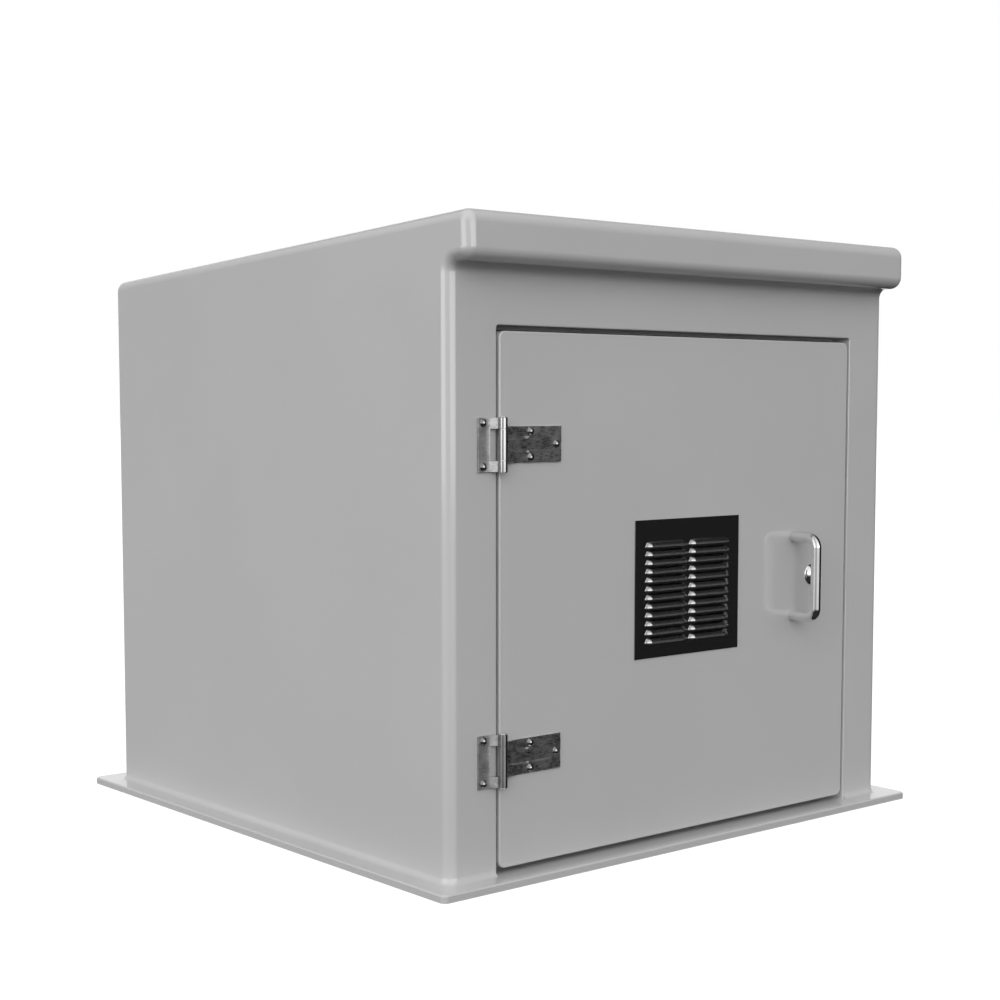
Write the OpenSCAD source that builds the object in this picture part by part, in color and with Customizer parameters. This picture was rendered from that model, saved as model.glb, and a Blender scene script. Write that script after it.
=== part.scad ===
// Roadside utility cabinet: a one-piece moulded shell on a bolt-down flange, with a
// brow over a flush hinged door, a louvred vent, a pull handle and a quarter-turn lock.
// Millimetres, +Z up, the door faces -Y. The origin is on the ground, at the centre of
// the box that holds the whole cabinet.

/* [Shell] */
// Thickness of the moulded walls and roof
wall_t = 10; // [6:0.5:13]
// Width of the front wall on each side of the doorway
pillar_w = 95; // [80:1:160]
// Height of the flat front wall over the doorway
header_h = 74; // [50:1:200]
// Depth of the shell from front wall to back wall
shell_d = 1020; // [500:1:1400]
// Fall of the roof from the fascia to the back wall
roof_fall = 53; // [10:1:100]
// Radius of the shell's upright corners and side edges
edge_r = 18; // [15:0.5:22]

/* [Brow] */
// Overhang of the fascia past the front wall
brow_reach = 48; // [46:1:90]
// Height of the fascia
brow_h = 76; // [60:1:140]
// Radius of the hollow under the brow
cove_r = 16; // [8:0.5:20]

/* [Base flange] */
// Width of the flange outside the walls
flange_proj = 40; // [30:1:80]
// Thickness of the flange
flange_t = 12; // [8:0.5:20]
// Radius of the flange's corners
flange_r = 10; // [5:0.5:25]
// Radius of the hollow between flange and walls
foot_r = 10; // [5:0.5:20]

/* [Doorway] */
// Gap on each side of the door
door_gap = 5; // [3:0.5:8]
// Gap over the door
head_gap = 8; // [4:0.5:12]
// Gap under the door
foot_gap = 9; // [5:0.5:15]
// Width of the stop that the door closes against
stop_w = 35; // [26:1:60]
// Thickness of the stop
stop_t = 8; // [5:0.5:12]
// Thickness of the rubber seal on the stop
seal_t = 3.5; // [2:0.25:6]
// Width of the rubber seal
seal_w = 14; // [8:0.5:20]

/* [Door] */
// Width of the door
door_w = 820; // [640:1:1100]
// Height of the door
door_h = 825; // [700:1:1100]
// Depth of the door over its turned edges
door_d = 34; // [28:1:50]
// Thickness of the door's skin and turned edges
door_t = 8; // [6:0.5:10]
// Radius of the door's corners
corner_r = 12; // [8:0.5:30]
// Radius round the edge of the door's face
face_r = 6; // [3:0.5:7]
// Height of the moulded ribs on the door's inside
rib_h = 16; // [8:1:18]
// Width of the moulded ribs on the door's inside
rib_w = 50; // [40:1:70]
// Extra thickness of the pads under the hinges
pad_t = 6; // [3:0.5:9]

/* [Louvre vent] */
// Width of the louvre plate
vent_w = 248; // [236:1:320]
// Height of the louvre plate
vent_h = 228; // [222:1:300]
// Thickness of the pressed sheet
vent_t = 1.5; // [1:0.1:2.5]
// Rows of louvres
louvre_rows = 12; // [4:1:12]
// Distance from one row of louvres to the next
louvre_pitch = 14.4; // [12:0.1:14.6]
// Length of a louvre
louvre_len = 97; // [50:1:98]
// Gap between the two columns of louvres
louvre_gap = 5; // [4:0.5:12]
// Outer radius of a louvre's hood
hood_r = 10; // [8:0.25:10.5]
// Depth of the hood's axis behind the plate's face
hood_sink = 4; // [3:0.25:5]
// Distance of the louvres' middle below the plate's middle
louvre_drop = 5; // [0:0.5:8]

/* [Hinges] */
// Distance between the two hinges' middles
hinge_c = 482; // [420:1:560]
// Height of a hinge over its knuckles
hinge_h = 82; // [70:1:110]
// Height of the middle knuckle
knuckle_h = 47; // [36:1:54]
// Outer diameter of a knuckle
knuckle_d = 14; // [12.5:0.5:18]
// Diameter of the hinge pin
pin_d = 8; // [5:0.5:9]
// Distance of the pin's axis in front of the door
hinge_stand = 12; // [10:0.5:16]
// Thickness of the hinge's sheet
leaf_t = 3; // [2:0.25:4]
// Reach of the frame leaf from the pin's axis
frame_leaf_l = 41.5; // [40:0.5:55]
// Width of the frame leaf's flat strip
frame_flat = 23; // [20:0.5:24]
// Reach of the door leaf from the pin's axis
door_leaf_l = 125.5; // [120:0.5:160]
// Height of the door leaf
door_leaf_h = 55; // [55:0.5:66]
// Height of the pressed rib's top on the door leaf
leaf_rib_h = 15; // [8:0.5:15]

/* [Fasteners] */
// Diameter of the hinge and handle bolts
bolt_d = 8; // [6:0.5:8]
// Diameter of a bolt's domed head
head_d = 13; // [11:0.5:13.5]
// Height of a bolt's domed head
head_h = 5; // [3:0.25:6]
// Diameter of the washers
washer_d = 18; // [16:0.5:20]
// Thickness of the washers
washer_t = 1.6; // [1:0.1:2.5]
// Width of the nuts over their flats
nut_af = 13; // [11:0.5:14]
// Thickness of the nuts
nut_h = 6.5; // [4:0.25:8]

/* [Pull handle] */
// Diameter of the handle's bar
grip_d = 18; // [14:0.5:24]
// Distance between the middles of the handle's legs
grip_c = 140; // [100:1:220]
// Distance of the bar's middle in front of the door
grip_stand = 54; // [40:1:80]
// Radius of the handle's bends at the bar's middle
bend_r = 13; // [12.5:0.5:25]
// Distance of the handle from the door's opening edge
grip_inset = 144; // [130:1:180]

/* [Lock] */
// Distance of the lock from the door's opening edge
lock_inset = 92; // [75:1:105]
// Diameter of the domed rosette
rosette_d = 37; // [32:0.5:44]
// Height of the domed rosette
rosette_h = 9; // [7:0.25:12]
// Diameter of the lock's threaded body
lock_body_d = 26; // [22:0.5:30]
// Diameter of the turning barrel
barrel_d = 16; // [14.5:0.5:18]
// Reach of the cam from the barrel's axis
cam_l = 84; // [60:1:86]
// Width of the cam
cam_w = 24; // [18:1:30]
// Thickness of the cam
cam_t = 4; // [3:0.25:6]
// Thickness of the keep plate behind the stop
keep_t = 3; // [2.5:0.25:5]

/* [Backboard] */
// Gap between the plywood backboard and each side wall
board_side = 50; // [10:1:150]
// Height of the plywood backboard
board_h = 720; // [500:1:800]
// Thickness of the plywood backboard
board_t = 12; // [9:1:18]
// Height of the backboard's lower edge above the ground
board_z = 110; // [40:1:150]
// Thickness of the battens behind the backboard
batten_t = 25; // [18:1:40]
// Height of a batten
batten_h = 50; // [40:1:80]

/* [Hidden] */
$fn = 48;
seg = 6;
eps = 0.01;
fit = 0.05;
play = 0.1;
axial = 0.5;
seal_air = 0.5;

// Colours of the materials
c_shell = [0.68, 0.68, 0.69];
c_steel = [0.62, 0.62, 0.63];
c_chrome = [0.85, 0.85, 0.87];
c_black = [0.05, 0.05, 0.055];
c_rubber = [0.09, 0.09, 0.09];
c_wood = [0.72, 0.56, 0.36];

// Door, doorway and shell, from the door outwards
door_z = flange_t + foot_gap;
door_mid = door_z + door_h / 2;
way_w = door_w + 2 * door_gap;
way_top = door_z + door_h + head_gap;
body_w = way_w + 2 * pillar_w;
cove_z = way_top + header_h;
brow_z = cove_z + cove_r;
body_h = brow_z + brow_h;
brow_r = edge_r + 2;
inner_r = edge_r - wall_t;

// Planes across the depth, with the whole cabinet centred on the origin
grip_reach = grip_stand + grip_d / 2;
flange_d = shell_d + 2 * flange_proj;
front = (grip_reach - flange_proj - flange_d) / 2 + flange_proj;
back = front + shell_d;
fascia = front - brow_reach;
roof_slope = roof_fall / (shell_d + brow_reach);
roof_a = atan(roof_slope);
stop_y = door_d + seal_air + seal_t;
rebate_d = stop_y + stop_t;
foot_top = flange_t + foot_r;
flange_edge = 2;
// Stations across the width: the angle round a side edge, and its side
stations = [for (s = [-1, 1], i = [0:seg]) [(s < 0 ? -90 : 0) + 90 * i / seg, s]];
// Step round the cove where the fans of a flat end change over
end_turn = floor(seg * 2 / 3);
mouth_r = 3;
mouth_mid = 0.9;
way_corner = 5;
clear_r = 12;

// Vent
louvre_t = vent_t * 0.8;
louvre_half = sqrt(hood_r * hood_r - hood_sink * hood_sink);
louvre_x = (louvre_len + louvre_gap) / 2;
louvre_low = -louvre_drop - ((louvre_rows - 1) * louvre_pitch + louvre_half) / 2;
vent_border = 18;
vent_cut_w = vent_w - 2 * vent_border;
vent_cut_h = vent_h - 2 * vent_border;
stud_in = vent_border / 2;
stud_d = 5;
screen_t = 0.8;
mesh_cols = 11;
mesh_rows = 10;
mesh_wire = 3;
screen_frame_t = 3;
vent_nut_af = 8;
vent_nut_h = 4;
vent_r = 3;

// Hinges
hinge_x = -door_w / 2 - door_gap / 2;
hinge_zs = [door_mid + hinge_c / 2, door_mid - hinge_c / 2];
bite = 0.4;
raise = hinge_stand - knuckle_d / 2 + bite;
crank_l = 10;
neck_l = 11.5;
drop_l = 22;
leaf_rib_end = 19;
frame_bolt_x = frame_leaf_l - 10;
frame_bolt_z = hinge_h / 2 - 8;
door_bolt_x = 62.5;
door_bolt_z = door_leaf_h / 2 - 7.5;
end_bolt_in = 10;
pin_head_d = pin_d + 3;
pin_head_t = 1.5;
pad_h = door_leaf_h + 25;
pad_l = door_leaf_l + 10;
frame_bolts = [[-frame_bolt_x, frame_bolt_z], [-frame_bolt_x, -frame_bolt_z]];
door_bolts = [[door_bolt_x, door_bolt_z], [door_bolt_x, -door_bolt_z], [door_leaf_l - end_bolt_in, 0]];
bolt_tail = washer_t + nut_h + 3;
hex_k = 1 / cos(30);

// Handle and lock
grip_x = door_w / 2 - grip_inset;
grip_bore = 25;
grip_thread = 18;
lock_x = door_w / 2 - lock_inset;
lock_len = door_t + 22;
lock_nut_h = 6;
lock_nut_af = lock_body_d + 8;
nose_d = barrel_d - 3;
nose_step = rosette_h - 5;
collar_d = barrel_d + 6;
collar_t = 3;
collar_y = lock_len + 0.3;
tail_d = barrel_d - 2;
square_w = barrel_d * 0.56;
cam_y = rebate_d + keep_t + 1;
cam_hub = cam_w + 4;
cam_screw_d = 6;
cam_screw_l = 14;
keep_w = stop_w - 4;
keep_h = 76;
keep_screw_d = 5;
keep_screw_z = 27;

// Backboard
board_w = body_w - 2 * wall_t - 2 * board_side;
batten_ys = back - wall_t - batten_t;
batten_in = 90;
board_screw_d = 5;
board_screw_l = 30;

rib_zs = [door_mid + vent_h / 2 + rib_w, door_mid - vent_h / 2 - rib_w];

// Turns a shape built along +Z so that it points out of the door, or into it
module outward() {
    rotate([90, 0, 0]) children();
}

module inward() {
    rotate([-90, 0, 0]) children();
}

// Puts a shape on the front plane at x, z
module on_front(x, z, y = 0) {
    translate([x, front + y, z]) children();
}

// An arc of seg steps in a plane
function arc(c, r, a0, a1) = [for (i = [0:seg])
    let (a = a0 + (a1 - a0) * i / seg) [c[0] + r * cos(a), c[1] + r * sin(a)]];

// A solid through a row of rings with the same number of points
module loft(rings) {
    n = len(rings[0]);
    m = len(rings);
    points = [for (r = rings) each r];
    walls = [for (i = [0:m - 2], j = [0:n - 1]) let (k = (j + 1) % n)
        each [[i * n + j, i * n + k, (i + 1) * n + k], [i * n + j, (i + 1) * n + k, (i + 1) * n + j]]];
    ends = [[for (j = [n - 1:-1:0]) j], [for (j = [0:n - 1]) (m - 1) * n + j]];
    polyhedron(points, concat(walls, ends));
}

// Side view of the shell, drawn in by d: front wall, cove, brow, roof and back wall
function side_view(d, z0) = let (
    top_z = body_h - roof_slope * brow_r - brow_r / cos(roof_a),
    rear_z = body_h - roof_slope * (back - brow_r - fascia) - brow_r / cos(roof_a))
    concat([[front + d, z0]],
        arc([front - cove_r, cove_z], cove_r + d, 0, 90),
        arc([fascia + brow_r, brow_z + brow_r], brow_r - d, 270, 180),
        arc([fascia + brow_r, top_z], brow_r - d, 180, 90 - roof_a),
        arc([back - brow_r, rear_z], brow_r - d, 90 - roof_a, 0),
        [[back - d, z0]]);

// A skin of the shell: its side view at every station across the width
function skin(half_w, r, inset, z0) = [for (s = stations)
    [for (p = side_view(inset + r * (1 - cos(s[0])), z0))
        [s[1] * (half_w - r) + r * sin(s[0]), p[0], p[1]]]];

// An outline of the foot at height z, off outside the walls
function outline(off, r, z) = let (hx = body_w / 2 + off, y0 = front - off, y1 = back + off)
    [for (p = concat(arc([r - hx, y0 + r], r, 180, 270), arc([hx - r, y0 + r], r, 270, 360),
        arc([hx - r, y1 - r], r, 0, 90), arc([r - hx, y1 - r], r, 90, 180))) [p[0], p[1], z]];

// The moulding in one closed surface: outer skin, hollow above the flange, flange, inner skin
module moulding() {
    outer = skin(body_w / 2, edge_r, 0, foot_top);
    inner = skin(body_w / 2 - wall_t, inner_r, wall_t, 0);
    hollow = [for (i = [1:seg]) let (a = 90 * i / seg, off = foot_r * (1 - cos(a)))
        outline(off, edge_r + off, foot_top - foot_r * sin(a))];
    rows = concat(hollow, [outline(flange_proj - flange_edge, flange_r, flange_t),
        outline(flange_proj, flange_r, flange_t - flange_edge), outline(flange_proj, flange_r, 0)]);
    m = len(stations);
    n = len(outer[0]);
    w = 2 * m;
    last = m * n + len(rows) * w;
    function rim(at) = concat([for (i = [0:m - 1]) at + i * n], [for (i = [m - 1:-1:0]) at + i * n + n - 1]);
    // A flat end of a skin in convex faces: the wall, the fans round the cove and the brow
    cove_end = seg + 1;
    crown = 3 * cove_end;
    ends = concat([concat([0, 1], [for (j = [crown + 1:n - 1]) j])],
        [for (j = [1:end_turn]) [j, j + 1, crown + 1]], [[end_turn + 1, crown, crown + 1]],
        [for (j = [end_turn + 1:cove_end - 1]) [j, j + 1, crown]], [[for (j = [cove_end:crown]) j]]);
    function faces(at) = concat(
        [for (i = [0:m - 2], j = [0:n - 2]) let (a = at + i * n + j, b = a + n)
            each [[a, a + 1, b + 1], [a, b + 1, b]]],
        [for (f = ends) [for (k = [len(f) - 1:-1:0]) at + f[k]]],
        [for (f = ends) [for (j = f) at + (m - 1) * n + j]]);
    rims = concat([rim(0)],
        [for (i = [0:len(rows) - 1]) [for (t = [0:w - 1]) m * n + i * w + t]], [rim(last)]);
    strips = [for (i = [0:len(rims) - 2], t = [0:w - 1]) let (u = rims[i], l = rims[i + 1], k = (t + 1) % w)
        each [[l[t], u[t], u[k]], [l[t], u[k], l[k]]]];
    turned = [for (f = faces(last)) [for (k = [len(f) - 1:-1:0]) f[k]]];
    polyhedron([for (part = [outer, rows, inner]) each [for (r = part) each r]],
        concat(faces(0), strips, turned));
}

// The doorway's clearance, with a rounded mouth on three sides
module doorway_form() {
    function ring(y, g) = [for (p = concat([[-way_w / 2 - g, flange_t], [way_w / 2 + g, flange_t]],
        arc([way_w / 2 - way_corner, way_top - way_corner], way_corner + g, 0, 90),
        arc([way_corner - way_w / 2, way_top - way_corner], way_corner + g, 90, 180)))
        [p[0], front + y, p[1]]];
    loft([ring(-foot_r - 2, mouth_r), ring(0, mouth_r), ring(mouth_mid, mouth_mid),
        ring(mouth_r, 0), ring(stop_y, 0)]);
}

// A flat rounded rectangle about the origin
module rounded(w, h, r) {
    square([w - 2 * r, h], center = true);
    square([w, h - 2 * r], center = true);
    for (x = [-1, 1], y = [-1, 1])
        translate([x * (w / 2 - r), y * (h / 2 - r)]) circle(r);
}

// The clear opening inside the stop
module stop_opening() {
    clear_h = way_top - flange_t - 2 * stop_w;
    on_front(0, flange_t + stop_w + clear_h / 2) inward() linear_extrude(rebate_d + 1)
        rounded(way_w - 2 * stop_w, clear_h, clear_r);
}

module cabinet_body() {
    color(c_shell) difference() {
        union() {
            moulding();
            translate([-way_w / 2 - wall_t, front + wall_t / 2, 0])
                cube([way_w + 2 * wall_t, rebate_d - wall_t / 2, way_top + wall_t]);
        }
        doorway_form();
        stop_opening();
        for (z = hinge_zs, b = frame_bolts)
            on_front(hinge_x + b[0], z + b[1], -1) inward() cylinder(d = bolt_d + 2 * play, h = wall_t + 2);
        for (s = [-1, 1])
            on_front(keep_x(), door_mid + s * keep_screw_z, stop_y + 1) inward()
                cylinder(d = keep_screw_d + 2 * play, h = stop_t);
    }
}

// Middle of the keep plate, on the back of the stop
function keep_x() = way_w / 2 - stop_w / 2;

// The door's outside: a flat face with rounded corners and a rounded rim
module door_form() {
    function ring(y, d) = let (hx = door_w / 2 - d, hz = door_h / 2 - d, r = corner_r - d)
        [for (p = concat(arc([hx - r, hz - r], r, 0, 90), arc([r - hx, hz - r], r, 90, 180),
            arc([r - hx, r - hz], r, 180, 270), arc([hx - r, r - hz], r, 270, 360)))
            [p[0], front + y, door_mid + p[1]]];
    rim = [for (i = [0:seg]) let (a = 90 - 90 * i / seg)
        ring(face_r * (1 - sin(a)), face_r * (1 - cos(a)))];
    loft(concat(rim, [ring(door_d, 0)]));
}

// A moulded rib across the door's inside
module door_rib() {
    slope = rib_h / 2;
    rotate([90, 0, 90]) linear_extrude(door_w - door_t, center = true)
        polygon([[door_t - 1, -rib_w / 2], [door_t, -rib_w / 2], [door_t + rib_h, slope - rib_w / 2],
            [door_t + rib_h, rib_w / 2 - slope], [door_t, rib_w / 2], [door_t - 1, rib_w / 2]]);
}

module door_panel() {
    inner_w = door_w - 2 * door_t;
    color(c_shell) difference() {
        union() {
            difference() {
                door_form();
                on_front(0, door_mid, door_t) inward() linear_extrude(door_d)
                    rounded(inner_w, door_h - 2 * door_t, corner_r - face_r);
            }
            for (z = rib_zs) on_front(0, z) door_rib();
            for (z = hinge_zs)
                translate([-door_w / 2 + door_t / 2, front + door_t - 1, z - pad_h / 2])
                    cube([pad_l - door_t / 2, pad_t + 1, pad_h]);
        }
        on_front(0, door_mid, -1) inward() linear_extrude(door_d)
            rounded(vent_cut_w, vent_cut_h, vent_r);
        at_vent_studs() translate([0, -1, 0]) inward() cylinder(d = stud_d + 2 * play, h = door_d);
        for (z = hinge_zs, b = door_bolts)
            on_front(hinge_x + b[0], z + b[1], -1) inward() cylinder(d = bolt_d + 2 * play, h = door_d);
        at_grip_legs() translate([0, -1, 0]) inward() cylinder(d = bolt_d + 2 * play, h = door_d);
        on_front(lock_x, door_mid, -1) inward() cylinder(d = lock_body_d + 2 * play, h = door_d);
    }
}

module door_seal() {
    w = door_w - door_t + seal_w;
    h = door_h - door_t + seal_w;
    color(c_rubber) on_front(0, door_mid, stop_y - seal_t) inward() linear_extrude(seal_t) difference() {
        rounded(w, h, corner_r);
        rounded(w - 2 * seal_w, h - 2 * seal_w, corner_r - 4);
    }
}

// Places for the vent's studs, the handle's legs and the hinges' bolts
module at_vent_studs() {
    for (x = [-1, 1], z = [-1, 1])
        on_front(x * (vent_w / 2 - stud_in), door_mid + z * (vent_h / 2 - stud_in)) children();
}

module at_grip_legs() {
    for (s = [-1, 1]) on_front(grip_x, door_mid + s * grip_c / 2) children();
}

module at_hinge_bolts(places, y = 0) {
    for (z = hinge_zs, b = places) on_front(hinge_x + b[0], z + b[1], y) children();
}

// A hinge leaf's sheet seen from above, with x from the pin's axis
module frame_leaf_plan() {
    a = frame_leaf_l - frame_flat;
    polygon([[-frame_leaf_l, 0], [-a, 0], [crank_l - a, -raise], [0, -raise], [0, -raise - leaf_t],
        [crank_l - a - 1, -raise - leaf_t], [-a - 1, -leaf_t], [-frame_leaf_l, -leaf_t]]);
}

module door_leaf_plan() {
    d = neck_l + drop_l;
    polygon([[0, -raise], [neck_l, -raise], [d, 0], [door_leaf_l, 0], [door_leaf_l, -leaf_t],
        [d + 1, -leaf_t], [neck_l + 1, -raise - leaf_t], [0, -raise - leaf_t]]);
}

module knuckle(h) {
    translate([0, -hinge_stand, 0]) cylinder(d = knuckle_d, h = h, center = true);
}

module pin_bore() {
    translate([0, -hinge_stand, 0]) cylinder(d = pin_d + 2 * fit, h = 2 * hinge_h, center = true);
}

module frame_leaf() {
    window = knuckle_h + 2 * axial;
    a = frame_leaf_l - frame_flat;
    difference() {
        union() {
            linear_extrude(hinge_h, center = true) frame_leaf_plan();
            knuckle(hinge_h);
        }
        translate([-a, -hinge_stand - knuckle_d, -window / 2])
            cube([a + knuckle_d, hinge_stand + knuckle_d + 1, window]);
        pin_bore();
        for (b = frame_bolts)
            translate([b[0], -leaf_t - 1, b[1]]) inward() cylinder(d = bolt_d + 2 * play, h = leaf_t + 2);
    }
}

// A block with sloping sides and end, from sheet level y0 out to y1
module leaf_rib(y0, y1, x1, half) {
    slope = y1 - y0;
    hull() {
        translate([neck_l - 3, -y1, -half]) cube([x1 - slope - neck_l + 3, eps, 2 * half]);
        translate([neck_l - 3, -y0, -half - slope]) cube([x1 - neck_l + 3, eps, 2 * (half + slope)]);
    }
}

module door_leaf() {
    x1 = door_leaf_l - leaf_rib_end;
    wall = leaf_t * (sqrt(2) - 1);
    difference() {
        union() {
            linear_extrude(knuckle_h, center = true) door_leaf_plan();
            knuckle(knuckle_h);
            intersection() {
                linear_extrude(door_leaf_h, center = true) door_leaf_plan();
                translate([neck_l, -hinge_stand, -door_leaf_h])
                    cube([door_leaf_l, 2 * hinge_stand, 2 * door_leaf_h]);
            }
            leaf_rib(leaf_t / 2, raise + leaf_t, x1 + leaf_t / 2, leaf_rib_h / 2);
        }
        leaf_rib(-1, raise, x1 - 2 * wall, leaf_rib_h / 2 - wall);
        pin_bore();
        for (b = door_bolts)
            translate([b[0], -leaf_t - 1, b[1]]) inward() cylinder(d = bolt_d + 2 * play, h = leaf_t + 2);
    }
}

module hinge_pin() {
    translate([0, -hinge_stand, 0]) {
        cylinder(d = pin_d, h = hinge_h, center = true);
        for (s = [-1, 1]) translate([0, 0, s * (hinge_h + pin_head_t) / 2])
            cylinder(d = pin_head_d, h = pin_head_t, center = true);
    }
}

module upper_hinge_frame_leaf() {
    color(c_steel) on_front(hinge_x, hinge_zs[0]) frame_leaf();
}

module lower_hinge_frame_leaf() {
    color(c_steel) on_front(hinge_x, hinge_zs[1]) frame_leaf();
}

module upper_hinge_door_leaf() {
    color(c_steel) on_front(hinge_x, hinge_zs[0]) door_leaf();
}

module lower_hinge_door_leaf() {
    color(c_steel) on_front(hinge_x, hinge_zs[1]) door_leaf();
}

module upper_hinge_pin() {
    color(c_chrome) on_front(hinge_x, hinge_zs[0]) hinge_pin();
}

module lower_hinge_pin() {
    color(c_chrome) on_front(hinge_x, hinge_zs[1]) hinge_pin();
}

// A domed cap of diameter d and height h, standing on its flat side
module dome(d, h) {
    r = (d * d / 4 + h * h) / (2 * h);
    rotate_extrude() intersection() {
        translate([0, h - r]) circle(r);
        square([d, h]);
    }
}

// A dome-headed bolt through a stack of the given thickness
module dome_bolt(grip) {
    outward() dome(head_d, head_h);
    inward() cylinder(d = bolt_d, h = grip + bolt_tail);
}

module washer() {
    inward() difference() {
        cylinder(d = washer_d, h = washer_t);
        translate([0, 0, -1]) cylinder(d = bolt_d + 2 * play, h = washer_t + 2);
    }
}

module nut(af, h, bore) {
    inward() difference() {
        cylinder(d = af * hex_k, h = h, $fn = 6);
        translate([0, 0, -1]) cylinder(d = bore + 2 * play, h = h + 2);
    }
}

module frame_hinge_bolts() {
    color(c_chrome) at_hinge_bolts(frame_bolts, -leaf_t) dome_bolt(leaf_t + wall_t);
}

module frame_hinge_washers() {
    color(c_steel) at_hinge_bolts(frame_bolts, wall_t) washer();
}

module frame_hinge_nuts() {
    color(c_steel) at_hinge_bolts(frame_bolts, wall_t + washer_t) nut(nut_af, nut_h, bolt_d);
}

module door_hinge_bolts() {
    color(c_chrome) at_hinge_bolts(door_bolts, -leaf_t) dome_bolt(leaf_t + door_t + pad_t);
}

module door_hinge_washers() {
    color(c_steel) at_hinge_bolts(door_bolts, door_t + pad_t) washer();
}

module door_hinge_nuts() {
    color(c_steel) at_hinge_bolts(door_bolts, door_t + pad_t + washer_t) nut(nut_af, nut_h, bolt_d);
}

// A bar with round ends along X, centred on the origin
module capsule(l, r) {
    rotate([0, 90, 0]) rotate_extrude() intersection() {
        union() {
            square([2 * r, l - 2 * r], center = true);
            for (s = [-1, 1]) translate([0, s * (l / 2 - r)]) circle(r);
        }
        translate([0, -l]) square([2 * r, 2 * l]);
    }
}

// The part of a louvre's hood with outer radius r that lies above its lip
module hood(r, below, behind) {
    l = louvre_len + 2 * (hood_r - louvre_half) - 2 * (hood_r - r);
    intersection() {
        translate([0, hood_sink - vent_t, 0]) capsule(l, r);
        translate([-l, -2 * hood_r, -below]) cube([2 * l, 2 * hood_r + behind, 2 * hood_r]);
    }
}

module at_louvres() {
    for (i = [0:louvre_rows - 1], s = [-1, 1])
        translate([s * louvre_x, 0, louvre_low + i * louvre_pitch]) children();
}

module louvre_plate() {
    color(c_black) on_front(0, door_mid) difference() {
        union() {
            outward() linear_extrude(vent_t) rounded(vent_w, vent_h, vent_r);
            at_louvres() hood(hood_r, 0, -vent_t / 2);
        }
        at_louvres() hood(hood_r - louvre_t, 1, 1);
    }
}

// Studs on the back of the louvre plate, through door, screen and frame
module vent_studs() {
    color(c_steel) at_vent_studs() inward()
        cylinder(d = stud_d, h = door_t + screen_t + screen_frame_t + vent_nut_h + 2);
}

module insect_screen() {
    pitch_x = (vent_cut_w + mesh_wire) / mesh_cols;
    pitch_z = (vent_cut_h + mesh_wire) / mesh_rows;
    color(c_steel) on_front(0, door_mid, door_t) inward() linear_extrude(screen_t) difference() {
        rounded(vent_w, vent_h, vent_r);
        for (i = [0:mesh_cols - 1], j = [0:mesh_rows - 1])
            translate([(i - (mesh_cols - 1) / 2) * pitch_x, (j - (mesh_rows - 1) / 2) * pitch_z])
                square([pitch_x - mesh_wire, pitch_z - mesh_wire], center = true);
        stud_holes();
    }
}

module stud_holes() {
    for (x = [-1, 1], z = [-1, 1])
        translate([x * (vent_w / 2 - stud_in), z * (vent_h / 2 - stud_in)])
            circle(d = stud_d + 2 * play);
}

module screen_frame() {
    color(c_black) on_front(0, door_mid, door_t + screen_t) inward()
        linear_extrude(screen_frame_t) difference() {
            rounded(vent_w, vent_h, vent_r);
            rounded(vent_cut_w, vent_cut_h, vent_r);
            stud_holes();
        }
}

module vent_nuts() {
    color(c_steel) at_vent_studs() translate([0, door_t + screen_t + screen_frame_t, 0])
        nut(vent_nut_af, vent_nut_h, stud_d);
}

module pull_handle() {
    leg = grip_stand - bend_r;
    straight = grip_c - 2 * bend_r;
    color(c_chrome) on_front(grip_x, door_mid) difference() {
        union() {
            for (s = [-1, 1]) translate([0, 0, s * grip_c / 2]) outward() cylinder(d = grip_d, h = leg);
            translate([0, -grip_stand, -straight / 2]) cylinder(d = grip_d, h = straight);
            for (s = [0, 1]) translate([0, -leg, (s == 0 ? 1 : -1) * straight / 2])
                rotate([90, 0, 90]) rotate([0, 0, 90 + 90 * s])
                    rotate_extrude(angle = 90) translate([bend_r, 0]) circle(d = grip_d);
        }
        for (s = [-1, 1]) translate([0, 1, s * grip_c / 2]) outward()
            cylinder(d = bolt_d + 2 * play, h = grip_bore + 1);
    }
}

module handle_bolts() {
    color(c_steel) at_grip_legs() translate([0, door_t + washer_t, 0]) {
        inward() cylinder(d = nut_af * hex_k, h = nut_h - 1, $fn = 6);
        outward() cylinder(d = bolt_d, h = door_t + washer_t + grip_thread);
    }
}

module handle_washers() {
    color(c_steel) at_grip_legs() translate([0, door_t, 0]) washer();
}

// The lock's pieces stand on the door's face with +Z out of the door
module at_lock() {
    on_front(lock_x, door_mid) outward() children();
}

module lock_housing() {
    color(c_chrome) at_lock() difference() {
        union() {
            dome(rosette_d, rosette_h);
            translate([0, 0, -lock_len]) cylinder(d = lock_body_d, h = lock_len);
        }
        translate([0, 0, -lock_len - 1])
            cylinder(d = barrel_d + 2 * fit, h = lock_len + 1 + nose_step + play);
        cylinder(d = nose_d + 2 * fit, h = 2 * rosette_h);
    }
}

module lock_nut() {
    color(c_steel) on_front(lock_x, door_mid, door_t) nut(lock_nut_af, lock_nut_h, lock_body_d);
}

module lock_barrel() {
    key_w = 1.8;
    key_h = nose_d * 0.65;
    key_deep = 8;
    color(c_chrome) at_lock() difference() {
        union() {
            translate([0, 0, -collar_y]) cylinder(d = barrel_d, h = collar_y + nose_step);
            cylinder(d = nose_d, h = rosette_h - 1);
            translate([0, 0, -collar_y - collar_t]) cylinder(d = collar_d, h = collar_t);
            translate([0, 0, -cam_y]) cylinder(d = tail_d, h = cam_y - collar_y);
            translate([-square_w / 2, -square_w / 2, -cam_y - cam_t]) cube([square_w, square_w, cam_t + 1]);
        }
        translate([-key_w / 2, -key_h / 2, rosette_h - key_deep]) cube([key_w, key_h, key_deep]);
        translate([0, 0, -cam_y - cam_t - 1]) cylinder(d = cam_screw_d + 2 * play, h = cam_screw_l + 3);
    }
}

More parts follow.
